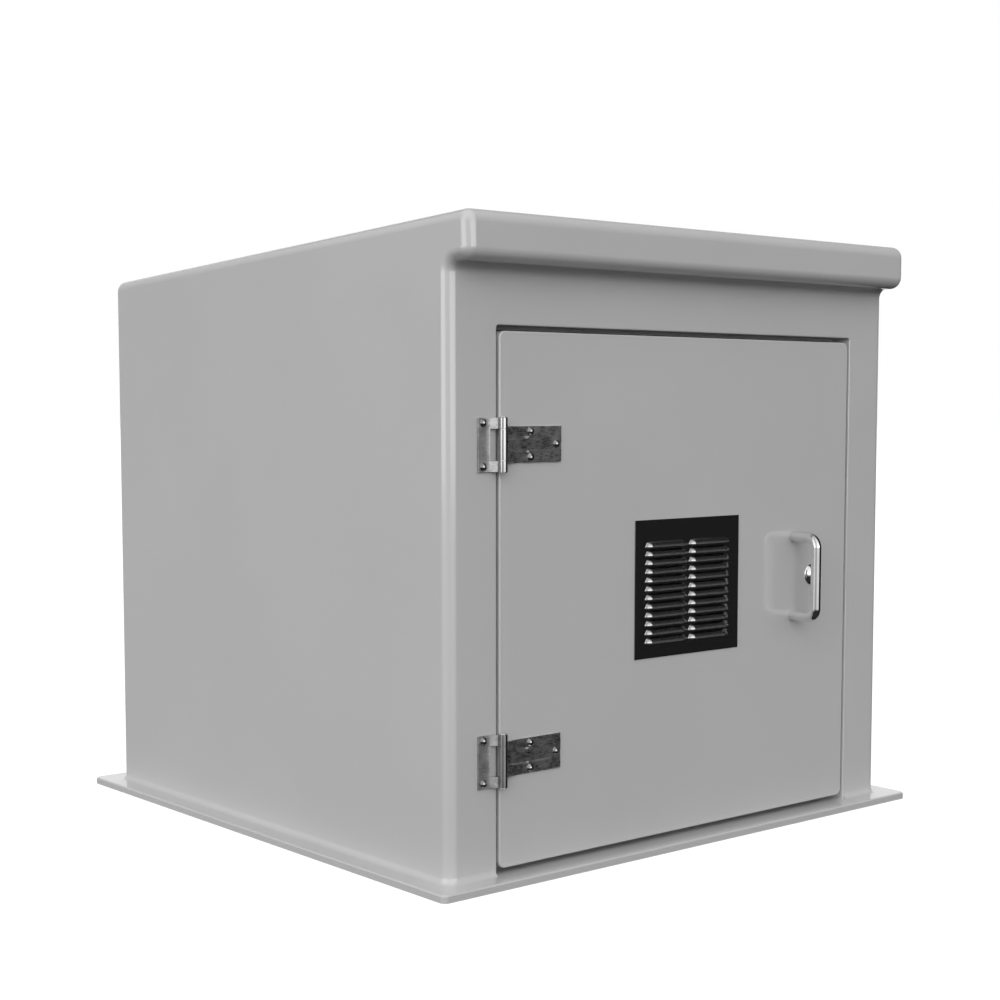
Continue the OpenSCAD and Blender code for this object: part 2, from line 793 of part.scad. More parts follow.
module lock_cam() {
    tip_r = cam_w / 2;
    color(c_steel) at_lock() translate([0, 0, -cam_y - cam_t]) linear_extrude(cam_t) difference() {
        union() {
            circle(d = cam_hub);
            translate([-cam_w / 2, tip_r - cam_l]) square([cam_w, cam_l - tip_r]);
            translate([0, tip_r - cam_l]) circle(tip_r);
        }
        square(square_w + 2 * play, center = true);
    }
}

module cam_screw() {
    color(c_steel) at_lock() translate([0, 0, -cam_y - cam_t]) {
        cylinder(d = cam_screw_d, h = cam_screw_l);
        translate([0, 0, -1.5]) cylinder(d = square_w * 2, h = 1.5);
        translate([0, 0, -5.5]) cylinder(d = 10 * hex_k, h = 4, $fn = 6);
    }
}

module lock_keep() {
    color(c_steel) on_front(keep_x(), door_mid, rebate_d) inward() difference() {
        linear_extrude(keep_t) rounded(keep_w, keep_h, 4);
        for (s = [-1, 1]) translate([0, s * keep_screw_z, 0]) {
            translate([0, 0, -1]) cylinder(d = keep_screw_d + 2 * play, h = keep_t + 2);
            translate([0, 0, keep_t - keep_screw_d / 2]) csk(keep_screw_d / 2 + eps, play);
        }
    }
}

// A countersunk screw's head
module csk(h, grow) {
    cylinder(d1 = keep_screw_d + 2 * grow, d2 = 2 * keep_screw_d + 2 * grow, h = h);
}

module keep_screws() {
    color(c_steel) for (s = [-1, 1]) on_front(keep_x(), door_mid + s * keep_screw_z, rebate_d) inward() {
        translate([0, 0, 1 - stop_t]) cylinder(d = keep_screw_d, h = stop_t - 1 + keep_t);
        translate([0, 0, keep_t - keep_screw_d / 2]) csk(keep_screw_d / 2, 0);
    }
}

module backboard() {
    color(c_wood) difference() {
        translate([-board_w / 2, batten_ys - board_t, board_z]) cube([board_w, board_t, board_h]);
        at_board_screws() translate([0, -1, 0]) inward()
            cylinder(d = board_screw_d + 2 * play, h = board_t + 2);
    }
}

// Battens' middles, and the screws that hold the board to them
function batten_z(s) = board_z + board_h / 2 + s * (board_h / 2 - batten_in);

module at_board_screws() {
    for (s = [-1, 1], x = [-1, 0, 1])
        translate([x * (board_w / 2 - batten_in), batten_ys - board_t, batten_z(s)]) children();
}

module backboard_battens() {
    color(c_wood) difference() {
        for (s = [-1, 1]) translate([-board_w / 2, batten_ys, batten_z(s) - batten_h / 2])
            cube([board_w, batten_t, batten_h]);
        at_board_screws() inward() cylinder(d = board_screw_d + 2 * play, h = board_screw_l + 1);
    }
}

module backboard_screws() {
    color(c_steel) at_board_screws() {
        outward() dome(2 * board_screw_d, 3);
        inward() cylinder(d = board_screw_d, h = board_screw_l);
    }
}

cabinet_body();
door_panel();
door_seal();
upper_hinge_frame_leaf();
lower_hinge_frame_leaf();
upper_hinge_door_leaf();
lower_hinge_door_leaf();
upper_hinge_pin();
lower_hinge_pin();
frame_hinge_bolts();
frame_hinge_washers();
frame_hinge_nuts();
door_hinge_bolts();
door_hinge_washers();
door_hinge_nuts();
louvre_plate();
vent_studs();
insect_screen();
screen_frame();
vent_nuts();
pull_handle();
handle_bolts();
handle_washers();
lock_housing();
lock_nut();
lock_barrel();
lock_cam();
cam_screw();
lock_keep();
keep_screws();
backboard();
backboard_battens();
backboard_screws();
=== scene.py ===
import math
import bpy
import bmesh
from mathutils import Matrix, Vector


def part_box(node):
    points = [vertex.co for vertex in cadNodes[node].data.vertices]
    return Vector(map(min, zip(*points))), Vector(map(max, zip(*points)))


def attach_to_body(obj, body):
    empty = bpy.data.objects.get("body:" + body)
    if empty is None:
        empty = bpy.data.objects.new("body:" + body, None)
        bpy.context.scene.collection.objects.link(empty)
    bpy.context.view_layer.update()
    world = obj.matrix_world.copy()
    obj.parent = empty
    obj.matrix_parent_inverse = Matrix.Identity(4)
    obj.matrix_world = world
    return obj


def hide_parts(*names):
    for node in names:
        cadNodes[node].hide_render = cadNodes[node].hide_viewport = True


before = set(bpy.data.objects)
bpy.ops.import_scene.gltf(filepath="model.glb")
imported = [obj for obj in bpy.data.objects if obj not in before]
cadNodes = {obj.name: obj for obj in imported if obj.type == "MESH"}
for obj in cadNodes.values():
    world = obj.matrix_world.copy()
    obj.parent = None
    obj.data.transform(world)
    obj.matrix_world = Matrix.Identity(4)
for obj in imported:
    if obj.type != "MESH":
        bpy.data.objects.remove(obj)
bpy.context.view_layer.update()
scene = bpy.context.scene
bodyLow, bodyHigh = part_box("cabinet_body")
doorLow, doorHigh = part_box("door_panel")
frontY = doorLow.y
doorMid = (doorLow.z + doorHigh.z) / 2
print("frame loaded,", len(cadNodes), "nodes")


# helpers for shader and geometry trees

def flat(level):
    return (level, level, level, 1)


def grey(level):  # a display grey from 0 to 255, as a linear colour
    v = level / 255
    return flat(v / 12.92 if v <= 0.04045 else ((v + 0.055) / 1.055) ** 2.4)


def startFinish(name):
    mat = bpy.data.materials.new(name)
    mat.use_nodes = True
    return mat, mat.node_tree, mat.node_tree.nodes["Principled BSDF"]


def addNode(tree, kind, **settings):
    node = tree.nodes.new(kind)
    for key, value in settings.items():
        setattr(node, key, value)
    return node


def setSockets(node, **values):
    for key, value in values.items():
        node.inputs[key.replace("_", " ")].default_value = value
    return node


def wire(tree, *pairs):
    for out, into in pairs:
        tree.links.new(out, into)


def feed(tree, socket, value):
    # a socket takes a link or a constant
    if hasattr(value, "is_linked"):
        tree.links.new(value, socket)
    else:
        socket.default_value = value


def mathNode(tree, operation, a, b=None):
    node = addNode(tree, "ShaderNodeMath", operation=operation)
    feed(tree, node.inputs[0], a)
    if b is not None:
        feed(tree, node.inputs[1], b)
    return node.outputs[0]


def placedCoords(tree, stretch=(1, 1, 1), offset=(0, 0, 0)):
    tex = addNode(tree, "ShaderNodeTexCoord")
    place = setSockets(addNode(tree, "ShaderNodeMapping"), Scale=stretch, Location=offset)
    wire(tree, (tex.outputs["Object"], place.inputs["Vector"]))
    return place.outputs["Vector"]


def noiseFac(tree, scale, stretch=(1, 1, 1), detail=3.0, rough=0.5, offset=(0, 0, 0), warp=0.0):
    node = addNode(tree, "ShaderNodeTexNoise")
    setSockets(node, Scale=scale, Detail=detail, Roughness=rough, Distortion=warp)
    wire(tree, (placedCoords(tree, stretch, offset), node.inputs["Vector"]))
    return node.outputs["Fac"]


def rampColor(tree, fac, stops):
    ramp = addNode(tree, "ShaderNodeValToRGB")
    while len(ramp.color_ramp.elements) < len(stops):
        ramp.color_ramp.elements.new(0.5)
    for element, (at, color) in zip(ramp.color_ramp.elements, stops):
        element.position = at
        element.color = color
    wire(tree, (fac, ramp.inputs["Fac"]))
    return ramp.outputs["Color"]


def spreadValue(tree, fac, low, high, fromLow=0.3, fromHigh=0.7):
    node = addNode(tree, "ShaderNodeMapRange")
    setSockets(node, From_Min=fromLow, From_Max=fromHigh, To_Min=low, To_Max=high)
    wire(tree, (fac, node.inputs["Value"]))
    return node.outputs["Result"]


def mixColor(tree, fac, a, b, mode="MIX"):
    node = addNode(tree, "ShaderNodeMix", data_type="RGBA", blend_type=mode)
    for index, value in ((0, fac), (6, a), (7, b)):  # the sockets of its colour form
        feed(tree, node.inputs[index], value)
    return node.outputs[2]


def addRelief(tree, bsdf, height, strength, distance):
    node = setSockets(addNode(tree, "ShaderNodeBump"), Strength=strength, Distance=distance)
    wire(tree, (height, node.inputs["Height"]), (node.outputs["Normal"], bsdf.inputs["Normal"]))


def colorAndRough(tree, bsdf, color, rough):
    wire(tree, (color, bsdf.inputs["Base Color"]), (rough, bsdf.inputs["Roughness"]))


# finishes

gelcoatLook = {"dark": 178, "light": 182, "roughLow": 0.30, "roughHigh": 0.34, "peel": 0.045, "specular": 0.2,
               "coat": 0.9, "coatRough": 0.1, "coatIndex": 1.75}


def makeGelcoat():
    look = gelcoatLook
    mat, tree, bsdf = startFinish("greyGelcoat")
    cloud = noiseFac(tree, 2.6, detail=4, rough=0.55)
    wipe = noiseFac(tree, 9, stretch=(1, 1, 0.35), detail=5, rough=0.6)
    colorAndRough(tree, bsdf, rampColor(tree, cloud, [(0.3, grey(look["dark"])), (0.7, grey(look["light"]))]),
                  spreadValue(tree, wipe, look["roughLow"], look["roughHigh"]))
    addRelief(tree, bsdf, noiseFac(tree, 210, detail=1.5), look["peel"], 0.0004)
    setSockets(bsdf, Specular_IOR_Level=look["specular"], Coat_Weight=look["coat"],
               Coat_Roughness=look["coatRough"], Coat_IOR=look["coatIndex"])
    return mat


# each run is the stretch and the offset of one lay of strands
laminateLook = {"resin": (0.40, 0.41, 0.385, 1), "strand": (0.52, 0.52, 0.49, 1), "strandSize": 95, "relief": 0.35,
                "runs": [((1, 0.16, 0.5), (0, 0, 0)), ((0.2, 1, 0.3), (3, 1, 7)), ((0.5, 0.6, 0.12), (9, 4, 2))]}


def makeLaminate():
    # chopped strands under a thin flow coat, on faces the mould doesn't touch
    look = laminateLook
    mat, tree, bsdf = startFinish("glassLaminate")
    runs = [noiseFac(tree, look["strandSize"], stretch, detail=2, offset=offset, warp=0.8)
            for stretch, offset in look["runs"]]
    strands = mathNode(tree, "MAXIMUM", mathNode(tree, "MAXIMUM", runs[0], runs[1]), runs[2])
    colorAndRough(tree, bsdf, rampColor(tree, strands, [(0.52, look["resin"]), (0.72, look["strand"])]),
                  spreadValue(tree, strands, 0.62, 0.4, 0.5, 0.75))
    addRelief(tree, bsdf, strands, look["relief"], 0.0008)
    return mat


frameSteel = {"name": "brushedStainless", "dark": 138, "light": 216, "roughLow": 0.36, "roughHigh": 0.48,
              "relief": 0.28}
doorSteel = {"name": "mottledStainless", "dark": 140, "light": 245, "roughLow": 0.20, "roughHigh": 0.38,
             "relief": 0.14}


def makeBrushed(look):
    # brush lines run along X, with short breaks and smudges
    mat, tree, bsdf = startFinish(look["name"])
    lines = noiseFac(tree, 60, stretch=(1.6, 22, 22), detail=6, rough=0.7)
    smudge = noiseFac(tree, 70, stretch=(0.8, 1, 1.2), detail=4, rough=0.65, offset=(2, 5, 1))
    mixed = mathNode(tree, "ADD", mathNode(tree, "MULTIPLY", lines, 0.6), mathNode(tree, "MULTIPLY", smudge, 0.4))
    colorAndRough(tree, bsdf, rampColor(tree, mixed, [(0.36, grey(look["dark"])), (0.62, grey(look["light"]))]),
                  spreadValue(tree, mixed, look["roughLow"], look["roughHigh"]))
    addRelief(tree, bsdf, lines, look["relief"], 0.0002)
    setSockets(bsdf, Metallic=1.0)
    return mat


brightLook = {"name": "polishedMetal", "low": (0.76, 0.76, 0.77, 1), "high": (0.86, 0.86, 0.87, 1),
              "roughLow": 0.035, "roughHigh": 0.09, "smear": 40, "smearZ": 0.6, "grain": 300, "relief": 0.006}
rolledLook = {"name": "rolledSteel", "low": grey(168), "high": grey(190), "roughLow": 0.10, "roughHigh": 0.17,
              "smear": 60, "smearZ": 0.4, "grain": 260, "relief": 0.03}
boltLook = dict(rolledLook, name="boltSteel", low=grey(164), high=grey(184), roughLow=0.06, roughHigh=0.11)


def makePolished(look):
    # the bright handle and lock, and the knuckles and bolt heads worn smooth
    mat, tree, bsdf = startFinish(look["name"])
    smear = noiseFac(tree, look["smear"], stretch=(1, 1, look["smearZ"]), detail=5, rough=0.6)
    colorAndRough(tree, bsdf, rampColor(tree, smear, [(0.3, look["low"]), (0.7, look["high"])]),
                  spreadValue(tree, smear, look["roughLow"], look["roughHigh"]))
    addRelief(tree, bsdf, noiseFac(tree, look["grain"], detail=2), look["relief"], 0.0002)
    setSockets(bsdf, Metallic=1.0)
    return mat


def makeZinc():
    # plain zinc-plated fasteners on the inside
    mat, tree, bsdf = startFinish("zincPlate")
    spangle = setSockets(addNode(tree, "ShaderNodeTexVoronoi"), Scale=420.0)
    wire(tree, (placedCoords(tree), spangle.inputs["Vector"]))
    dull = noiseFac(tree, 160, detail=4)
    stops = [(0.0, (0.50, 0.51, 0.52, 1)), (0.8, (0.68, 0.68, 0.67, 1))]
    colorAndRough(tree, bsdf, rampColor(tree, spangle.outputs["Distance"], stops),
                  spreadValue(tree, dull, 0.24, 0.44))
    addRelief(tree, bsdf, dull, 0.08, 0.0003)
    setSockets(bsdf, Metallic=1.0)
    return mat


# the last two entries paint a grey highlight along the crest of every hood
blackLook = {"base": 9, "worn": 14, "roughLow": 0.07, "roughHigh": 0.13, "index": 3.0, "crest": 0.006,
             "highlightStops": [(0.0, 0), (0.60, 0.03), (0.85, 0.12), (0.955, 0.32), (0.98, 1.0)], "highlightGrey": 104}


def makeBlack(sheetFace):
    # painted highlight: paler grey towards the crest of the hoods, which stands furthest from the sheet, in place of
    # the light caught along their lips
    look = blackLook
    mat, tree, bsdf = startFinish("blackEnamel")
    speck = noiseFac(tree, 90, detail=5, rough=0.6)
    plain = rampColor(tree, speck, [(0.35, grey(look["base"])), (0.7, grey(look["worn"]))])
    apart = addNode(tree, "ShaderNodeSeparateXYZ")
    wire(tree, (placedCoords(tree), apart.inputs[0]))
    out = spreadValue(tree, apart.outputs["Y"], 0.0, 1.0, sheetFace, sheetFace - look["crest"])
    # painted highlight: how much of the grey shows, by distance out from the sheet
    share = rampColor(tree, out, [(at, flat(level)) for at, level in look["highlightStops"]])
    colorAndRough(tree, bsdf, mixColor(tree, share, plain, grey(look["highlightGrey"])),
                  spreadValue(tree, speck, look["roughLow"], look["roughHigh"]))
    addRelief(tree, bsdf, noiseFac(tree, 480, detail=2), 0.06, 0.0002)
    setSockets(bsdf, IOR=look["index"], Specular_IOR_Level=1.0)
    return mat


def makeRubber():
    mat, tree, bsdf = startFinish("sealRubber")
    bloom = noiseFac(tree, 55, detail=5, rough=0.65)
    stops = [(0.35, (0.012, 0.012, 0.012, 1)), (0.75, (0.032, 0.032, 0.031, 1))]
    colorAndRough(tree, bsdf, rampColor(tree, bloom, stops), spreadValue(tree, bloom, 0.55, 0.78))
    addRelief(tree, bsdf, noiseFac(tree, 900, detail=2), 0.12, 0.0002)
    return mat


woodLook = {"pale": (0.66, 0.48, 0.28, 1), "warm": (0.50, 0.32, 0.155, 1), "plies": 7,
            "pinePale": (0.68, 0.48, 0.25, 1), "pineWarm": (0.47, 0.28, 0.12, 1)}


def woodColor(tree, rings, ringStops, fibre, fibreStops, share):
    return mixColor(tree, share, rampColor(tree, rings, ringStops), rampColor(tree, fibre, fibreStops), "MULTIPLY")


def makePlywood():
    # face veneer, grain along X with cathedral waves
    mat, tree, bsdf = startFinish("birchVeneer")
    wave = addNode(tree, "ShaderNodeTexWave", wave_type="BANDS", bands_direction="Z")
    setSockets(wave, Scale=9.0, Distortion=7.0, Detail=3.0, Detail_Scale=0.9, Detail_Roughness=0.55)
    wire(tree, (placedCoords(tree, (0.22, 1, 1)), wave.inputs["Vector"]))
    fibre = noiseFac(tree, 26, stretch=(0.9, 18, 18), detail=6, rough=0.65)
    color = woodColor(tree, wave.outputs["Fac"], [(0.15, woodLook["pale"]), (0.95, woodLook["warm"])],
                      fibre, [(0.3, (0.80, 0.77, 0.72, 1)), (0.65, flat(1))], 0.8)
    colorAndRough(tree, bsdf, color, spreadValue(tree, fibre, 0.5, 0.72))
    addRelief(tree, bsdf, fibre, 0.12, 0.0004)
    return mat


def makePlyEdge(thickness, start):
    # layers seen on the board's edge, alternate plies dark and pale across Y
    mat, tree, bsdf = startFinish("plyEdges")
    split = addNode(tree, "ShaderNodeSeparateXYZ")
    wire(tree, (placedCoords(tree, (1, 1, 1), (0, -start, 0)), split.inputs["Vector"]))
    layer = mathNode(tree, "MULTIPLY", split.outputs["Y"], woodLook["plies"] / thickness)
    odd = mathNode(tree, "PINGPONG", layer, 1)
    fibre = noiseFac(tree, 120, stretch=(1, 6, 1), detail=5)
    color = woodColor(tree, odd, [(0.35, woodLook["warm"]), (0.65, woodLook["pale"])],
                      fibre, [(0.3, (0.62, 0.58, 0.52, 1)), (0.7, flat(1))], 0.9)
    colorAndRough(tree, bsdf, color, spreadValue(tree, fibre, 0.6, 0.85))
    addRelief(tree, bsdf, odd, 0.2, 0.0004)
    return mat


def makePine():
    mat, tree, bsdf = startFinish("pineBatten")
    wave = addNode(tree, "ShaderNodeTexWave", wave_type="RINGS", rings_direction="X")
    setSockets(wave, Scale=26.0, Distortion=3.0, Detail=3.0, Detail_Scale=1.2)
    wire(tree, (placedCoords(tree, (0.05, 1, 1), (0, -0.4, 0.03)), wave.inputs["Vector"]))
    fibre = noiseFac(tree, 30, stretch=(0.8, 20, 20), detail=5, rough=0.6)
    color = woodColor(tree, wave.outputs["Fac"], [(0.2, woodLook["pinePale"]), (0.9, woodLook["pineWarm"])],
                      fibre, [(0.3, (0.82, 0.78, 0.72, 1)), (0.7, flat(1))], 0.8)
    colorAndRough(tree, bsdf, color, spreadValue(tree, fibre, 0.5, 0.75))
    addRelief(tree, bsdf, fibre, 0.15, 0.0004)
    return mat


boardLow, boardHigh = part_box("backboard")
gelcoat = makeGelcoat()
laminate = makeLaminate()
brushed, mottled = makeBrushed(frameSteel), makeBrushed(doorSteel)
bright, rolled, boltMetal = makePolished(brightLook), makePolished(rolledLook), makePolished(boltLook)
zinc = makeZinc()
rubber = makeRubber()
veneer = makePlywood()
plyEdge = makePlyEdge(boardHigh.y - boardLow.y, boardLow.y)
pine = makePine()
print("finishes made:", len(bpy.data.materials))


# mesh helpers

def linkPiece(name, mesh, mats=()):
    for mat in mats:
        mesh.materials.append(mat)
    piece = bpy.data.objects.new(name, mesh)
    scene.collection.objects.link(piece)
    return piece


def pieceFrom(bm, name, mats):
    mesh = bpy.data.meshes.new(name)
    bm.to_mesh(mesh)
    bm.free()
    stored = mesh.attributes.get("custom_normal")  # a node's stored normals don't fit a merged copy
    if stored:
        mesh.attributes.remove(stored)
    return linkPiece(name, mesh, mats)


def bakeMesh(piece):
    shown = piece.evaluated_get(bpy.context.evaluated_depsgraph_get())
    mesh = bpy.data.meshes.new_from_object(shown)
    mesh.name = piece.name
    old = piece.data
    piece.modifiers.clear()
    piece.data = mesh
    bpy.data.meshes.remove(old)
    return piece


def softEdges(piece, width, angle=35):
    mod = piece.modifiers.new("softEdges", "BEVEL")
    mod.width = width
    mod.segments = 2
    mod.limit_method = "ANGLE"
    mod.angle_limit = math.radians(angle)
    mod.use_clamp_overlap = True
    return bakeMesh(piece)


def thicken(piece, thickness):
    mod = piece.modifiers.new("sheet", "SOLIDIFY")
    mod.thickness = thickness
    mod.offset = -1
    return bakeMesh(piece)


def smoothFaces(piece, angle=32, weighted=True):
    piece.data.shade_smooth()
    piece.data.set_sharp_from_angle(angle=math.radians(angle))
    if weighted:
        mod = piece.modifiers.new("weights", "WEIGHTED_NORMAL")
        mod.keep_sharp = True
        mod.weight = 60
        bakeMesh(piece)
    return piece


def evenNormals(piece):
    bm = bmesh.new()
    bm.from_mesh(piece.data)
    bmesh.ops.recalc_face_normals(bm, faces=bm.faces)
    bm.to_mesh(piece.data)
    bm.free()


def mergedCopy(node, flatten=True):
    bm = bmesh.new()
    bm.from_mesh(cadNodes[node].data)
    for layer in list(bm.loops.layers.uv):
        bm.loops.layers.uv.remove(layer)
    bmesh.ops.remove_doubles(bm, verts=bm.verts, dist=5e-6)
    if flatten:
        bmesh.ops.dissolve_limit(bm, angle_limit=math.radians(0.15), verts=bm.verts, edges=bm.edges)
    for face in bm.faces:
        face.material_index = 0
    return bm


def islandBoxes(node):
    bm = mergedCopy(node, flatten=False)
    seen, boxes = set(), []
    for first in bm.verts:
        if first in seen:
            continue
        stack, found = [first], []
        seen.add(first)
        while stack:
            v = stack.pop()
            found.append(v.co.copy())
            for edge in v.link_edges:
                other = edge.other_vert(v)
                if other not in seen:
                    seen.add(other)
                    stack.append(other)
        boxes.append((Vector([min(c[k] for c in found) for k in range(3)]),
                      Vector([max(c[k] for c in found) for k in range(3)])))
    bm.free()
    return boxes


def ringPoints(radius, depth, steps, centre=(0, 0, 0)):
    angles = [2 * math.pi * k / steps for k in range(steps)]
    return [(centre[0] + radius * math.cos(a), centre[1] + depth, centre[2] + radius * math.sin(a)) for a in angles]


def lathe(outline, steps, centre=(0, 0, 0), bm=None):
    # outline is (radius, depth) from front to back, turned about an axis along Y
    bm = bmesh.new() if bm is None else bm
    rings = []
    for radius, depth in outline:
        points = ringPoints(radius, depth, steps, centre)
        if radius < 1e-7:
            points = [(centre[0], centre[1] + depth, centre[2])]
        rings.append([bm.verts.new(p) for p in points])
    for near, far in zip(rings, rings[1:]):
        for k in range(steps):
            m = (k + 1) % steps
            corners = [near[k % len(near)], near[m % len(near)], far[m % len(far)], far[k % len(far)]]
            corners = list(dict.fromkeys(corners))
            if len(corners) > 2:
                bm.faces.new(corners)
    return bm


def domeOutline(radius, height, steps, lip=0.0):
    # from the crown back to the rim of a spherical cap; depth 0 is the seat
    ball = (radius * radius + height * height) / (2 * height)
    reach = math.asin(min(1, radius / ball))
    points = [(ball * math.sin(reach * k / steps), -(ball * math.cos(reach * k / steps) - (ball - height)))
              for k in range(steps + 1)]
    if lip:
        points[-1] = (radius, -lip)
        points.append((radius, 0))
    return points


def addThread(outline, radius, depth, at, end, step):
    # grooves along the outline of a turned part
    while at < end:
        outline += [(radius - depth, at + step / 2), (radius, at + step)]
        at += step


def attach(piece, body, slotName, *replaced):
    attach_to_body(piece, body)
    if replaced:
        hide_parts(*replaced)
    return piece


# geometry node helpers

def newTree(name, sockets):
    tree = bpy.data.node_groups.new(name, "GeometryNodeTree")
    tree.interface.new_socket("Geometry", in_out="INPUT", socket_type="NodeSocketGeometry")
    for label, kind in sockets:
        tree.interface.new_socket(label, in_out="INPUT", socket_type="NodeSocket" + kind)
    tree.interface.new_socket("Geometry", in_out="OUTPUT", socket_type="NodeSocketGeometry")
    return tree, addNode(tree, "NodeGroupInput"), addNode(tree, "NodeGroupOutput")


def endTree(tree, given, result, last):
    # every tree ends in realized instances and one material
    real = addNode(tree, "GeometryNodeRealizeInstances")
    paint = addNode(tree, "GeometryNodeSetMaterial")
    wire(tree, (last, real.inputs[0]), (real.outputs[0], paint.inputs["Geometry"]),
         (given.outputs["Finish"], paint.inputs["Material"]), (paint.outputs[0], result.inputs[0]))


def runTree(piece, tree, values):
    mod = piece.modifiers.new(tree.name, "NODES")
    mod.node_group = tree
    for item in tree.interface.items_tree:
        if item.item_type == "SOCKET" and item.in_out == "INPUT" and item.name in values:
            mod[item.identifier] = values[item.name]
    piece.update_tag()
    bpy.context.view_layer.update()
    return bakeMesh(piece)


def carrierTree():
    # puts one small part on every point of the piece
    tree, given, result = newTree("partOnPoints", [("Part", "Object"), ("Finish", "Material")])
    info = addNode(tree, "GeometryNodeObjectInfo")
    put = addNode(tree, "GeometryNodeInstanceOnPoints")
    wire(tree, (given.outputs["Part"], info.inputs["Object"]), (given.outputs["Geometry"], put.inputs["Points"]),
         (info.outputs["Geometry"], put.inputs["Instance"]))
    endTree(tree, given, result, put.outputs[0])
    return tree


partOnPoints = carrierTree()


def placeParts(node, name, body, makePart, slotName="stainless", finish=zinc, lift=0.0):
    # one part made for the size of the node's solids, on the seat of each of them
    boxes = islandBoxes(node)
    bm = makePart(boxes[0][1] - boxes[0][0])
    bmesh.ops.recalc_face_normals(bm, faces=bm.faces)
    part = smoothFaces(pieceFrom(bm, name + "Part", [finish]), weighted=False)
    mesh = bpy.data.meshes.new(name)
    mesh.from_pydata([((a.x + b.x) / 2, a.y + lift, (a.z + b.z) / 2) for a, b in boxes], [], [])
    piece = linkPiece(name, mesh)
    runTree(piece, partOnPoints, {"Part": part, "Finish": finish})
    bpy.data.objects.remove(part)
    return attach(piece, body, slotName, node)


def dressed(node, name, mats, body, slotName, edge, smooth=32, angle=35):
    # the node's own form with soft edges
    piece = softEdges(pieceFrom(mergedCopy(node), name, mats), edge, angle)
    smoothFaces(piece, smooth)
    return attach(piece, body, slotName, node)


# the moulded shell and door

shellSizes = {"wall": 0.010, "flange": 0.040, "flangeThick": 0.012, "doorGap": 0.005, "headGap": 0.008,
              "rebate": 0.046, "roofSlope": 53 / 1068, "roofDepth": 0.12, "browRise": 0.05, "browSkin": 0.008,
              "margin": 0.0005, "smooth": 31}


def insideShell(face):
    # within the walls or the brow, less the doorway and the top of the roof
    s = shellSizes
    c, n = face.calc_center_median(), face.normal
    inset = s["flange"] + s["wall"] - s["margin"]
    roofIn = bodyHigh.z - s["roofSlope"] * (c.y - bodyLow.y) - s["wall"] * 0.55
    inBrow = c.z > doorHigh.z + s["browRise"] and n.y > 0.2 and c.y > bodyLow.y + s["browSkin"]
    inBox = frontY + s["wall"] - s["margin"] < c.y < bodyHigh.y - inset and c.z > 2 * s["margin"]
    halfWay = (doorHigh.x - doorLow.x) / 2 + s["doorGap"] + s["margin"]
    inWay = (abs(c.x) < halfWay and c.y < frontY + s["rebate"] - s["margin"]
             and s["flangeThick"] - 2 * s["margin"] < c.z < doorHigh.z + s["headGap"] + 2 * s["margin"])
    onRoof = n.z > 0.05 and c.z > bodyHigh.z - s["roofDepth"]
    return abs(c.x) < bodyHigh.x - inset and c.z < roofIn and (inBox or inBrow) and not inWay and not onRoof


def mouldedPiece(bm, name, rough, body, node):
    # gelcoat where the mould was, laminate on the rough faces
    bm.normal_update()
    for face in bm.faces:
        face.material_index = 1 if rough(face) else 0
    piece = pieceFrom(bm, name, [gelcoat, laminate])
    smoothFaces(piece, shellSizes["smooth"])
    attach(piece, body, "gelcoat", node)


mouldedPiece(mergedCopy("cabinet_body", flatten=False), "cabinetShell", insideShell, "cabinet", "cabinet_body")

doorSizes = {"corner": 0.012, "builtRim": 0.006, "rim": 0.0025, "skin": 0.0078}


def tightenRim(bm):
    # the rounding of the door's face, drawn in towards its edge
    d = doorSizes
    halfX, halfZ = (doorHigh.x - doorLow.x) / 2 - d["corner"], (doorHigh.z - doorLow.z) / 2 - d["corner"]
    share = d["rim"] / d["builtRim"]
    for v in bm.verts:
        x, z, deep = v.co.x - (doorLow.x + doorHigh.x) / 2, v.co.z - doorMid, v.co.y - frontY
        past = Vector((max(abs(x) - halfX, 0), max(abs(z) - halfZ, 0)))
        inset = d["corner"] - past.length
        if max(deep, inset) > d["builtRim"] + 1e-5:
            continue
        past *= (d["corner"] - inset * share) / past.length - 1
        v.co += Vector((math.copysign(past.x, x), deep * (share - 1), math.copysign(past.y, z)))
    return bm


def insideDoor(face):
    c, skin = face.calc_center_median(), doorSizes["skin"]
    return (abs(c.x) < doorHigh.x - skin and abs(c.z - doorMid) < (doorHigh.z - doorLow.z) / 2 - skin
            and c.y > frontY + skin)


mouldedPiece(tightenRim(mergedCopy("door_panel", flatten=False)), "doorPanel", insideDoor, "door", "door_panel")
print("shell and door made")


# rubber seal, a filleted strip swept round the stop

sealSizes = {"strip": 0.014, "cornerFillet": 0.011, "edgeFillet": 0.0013}


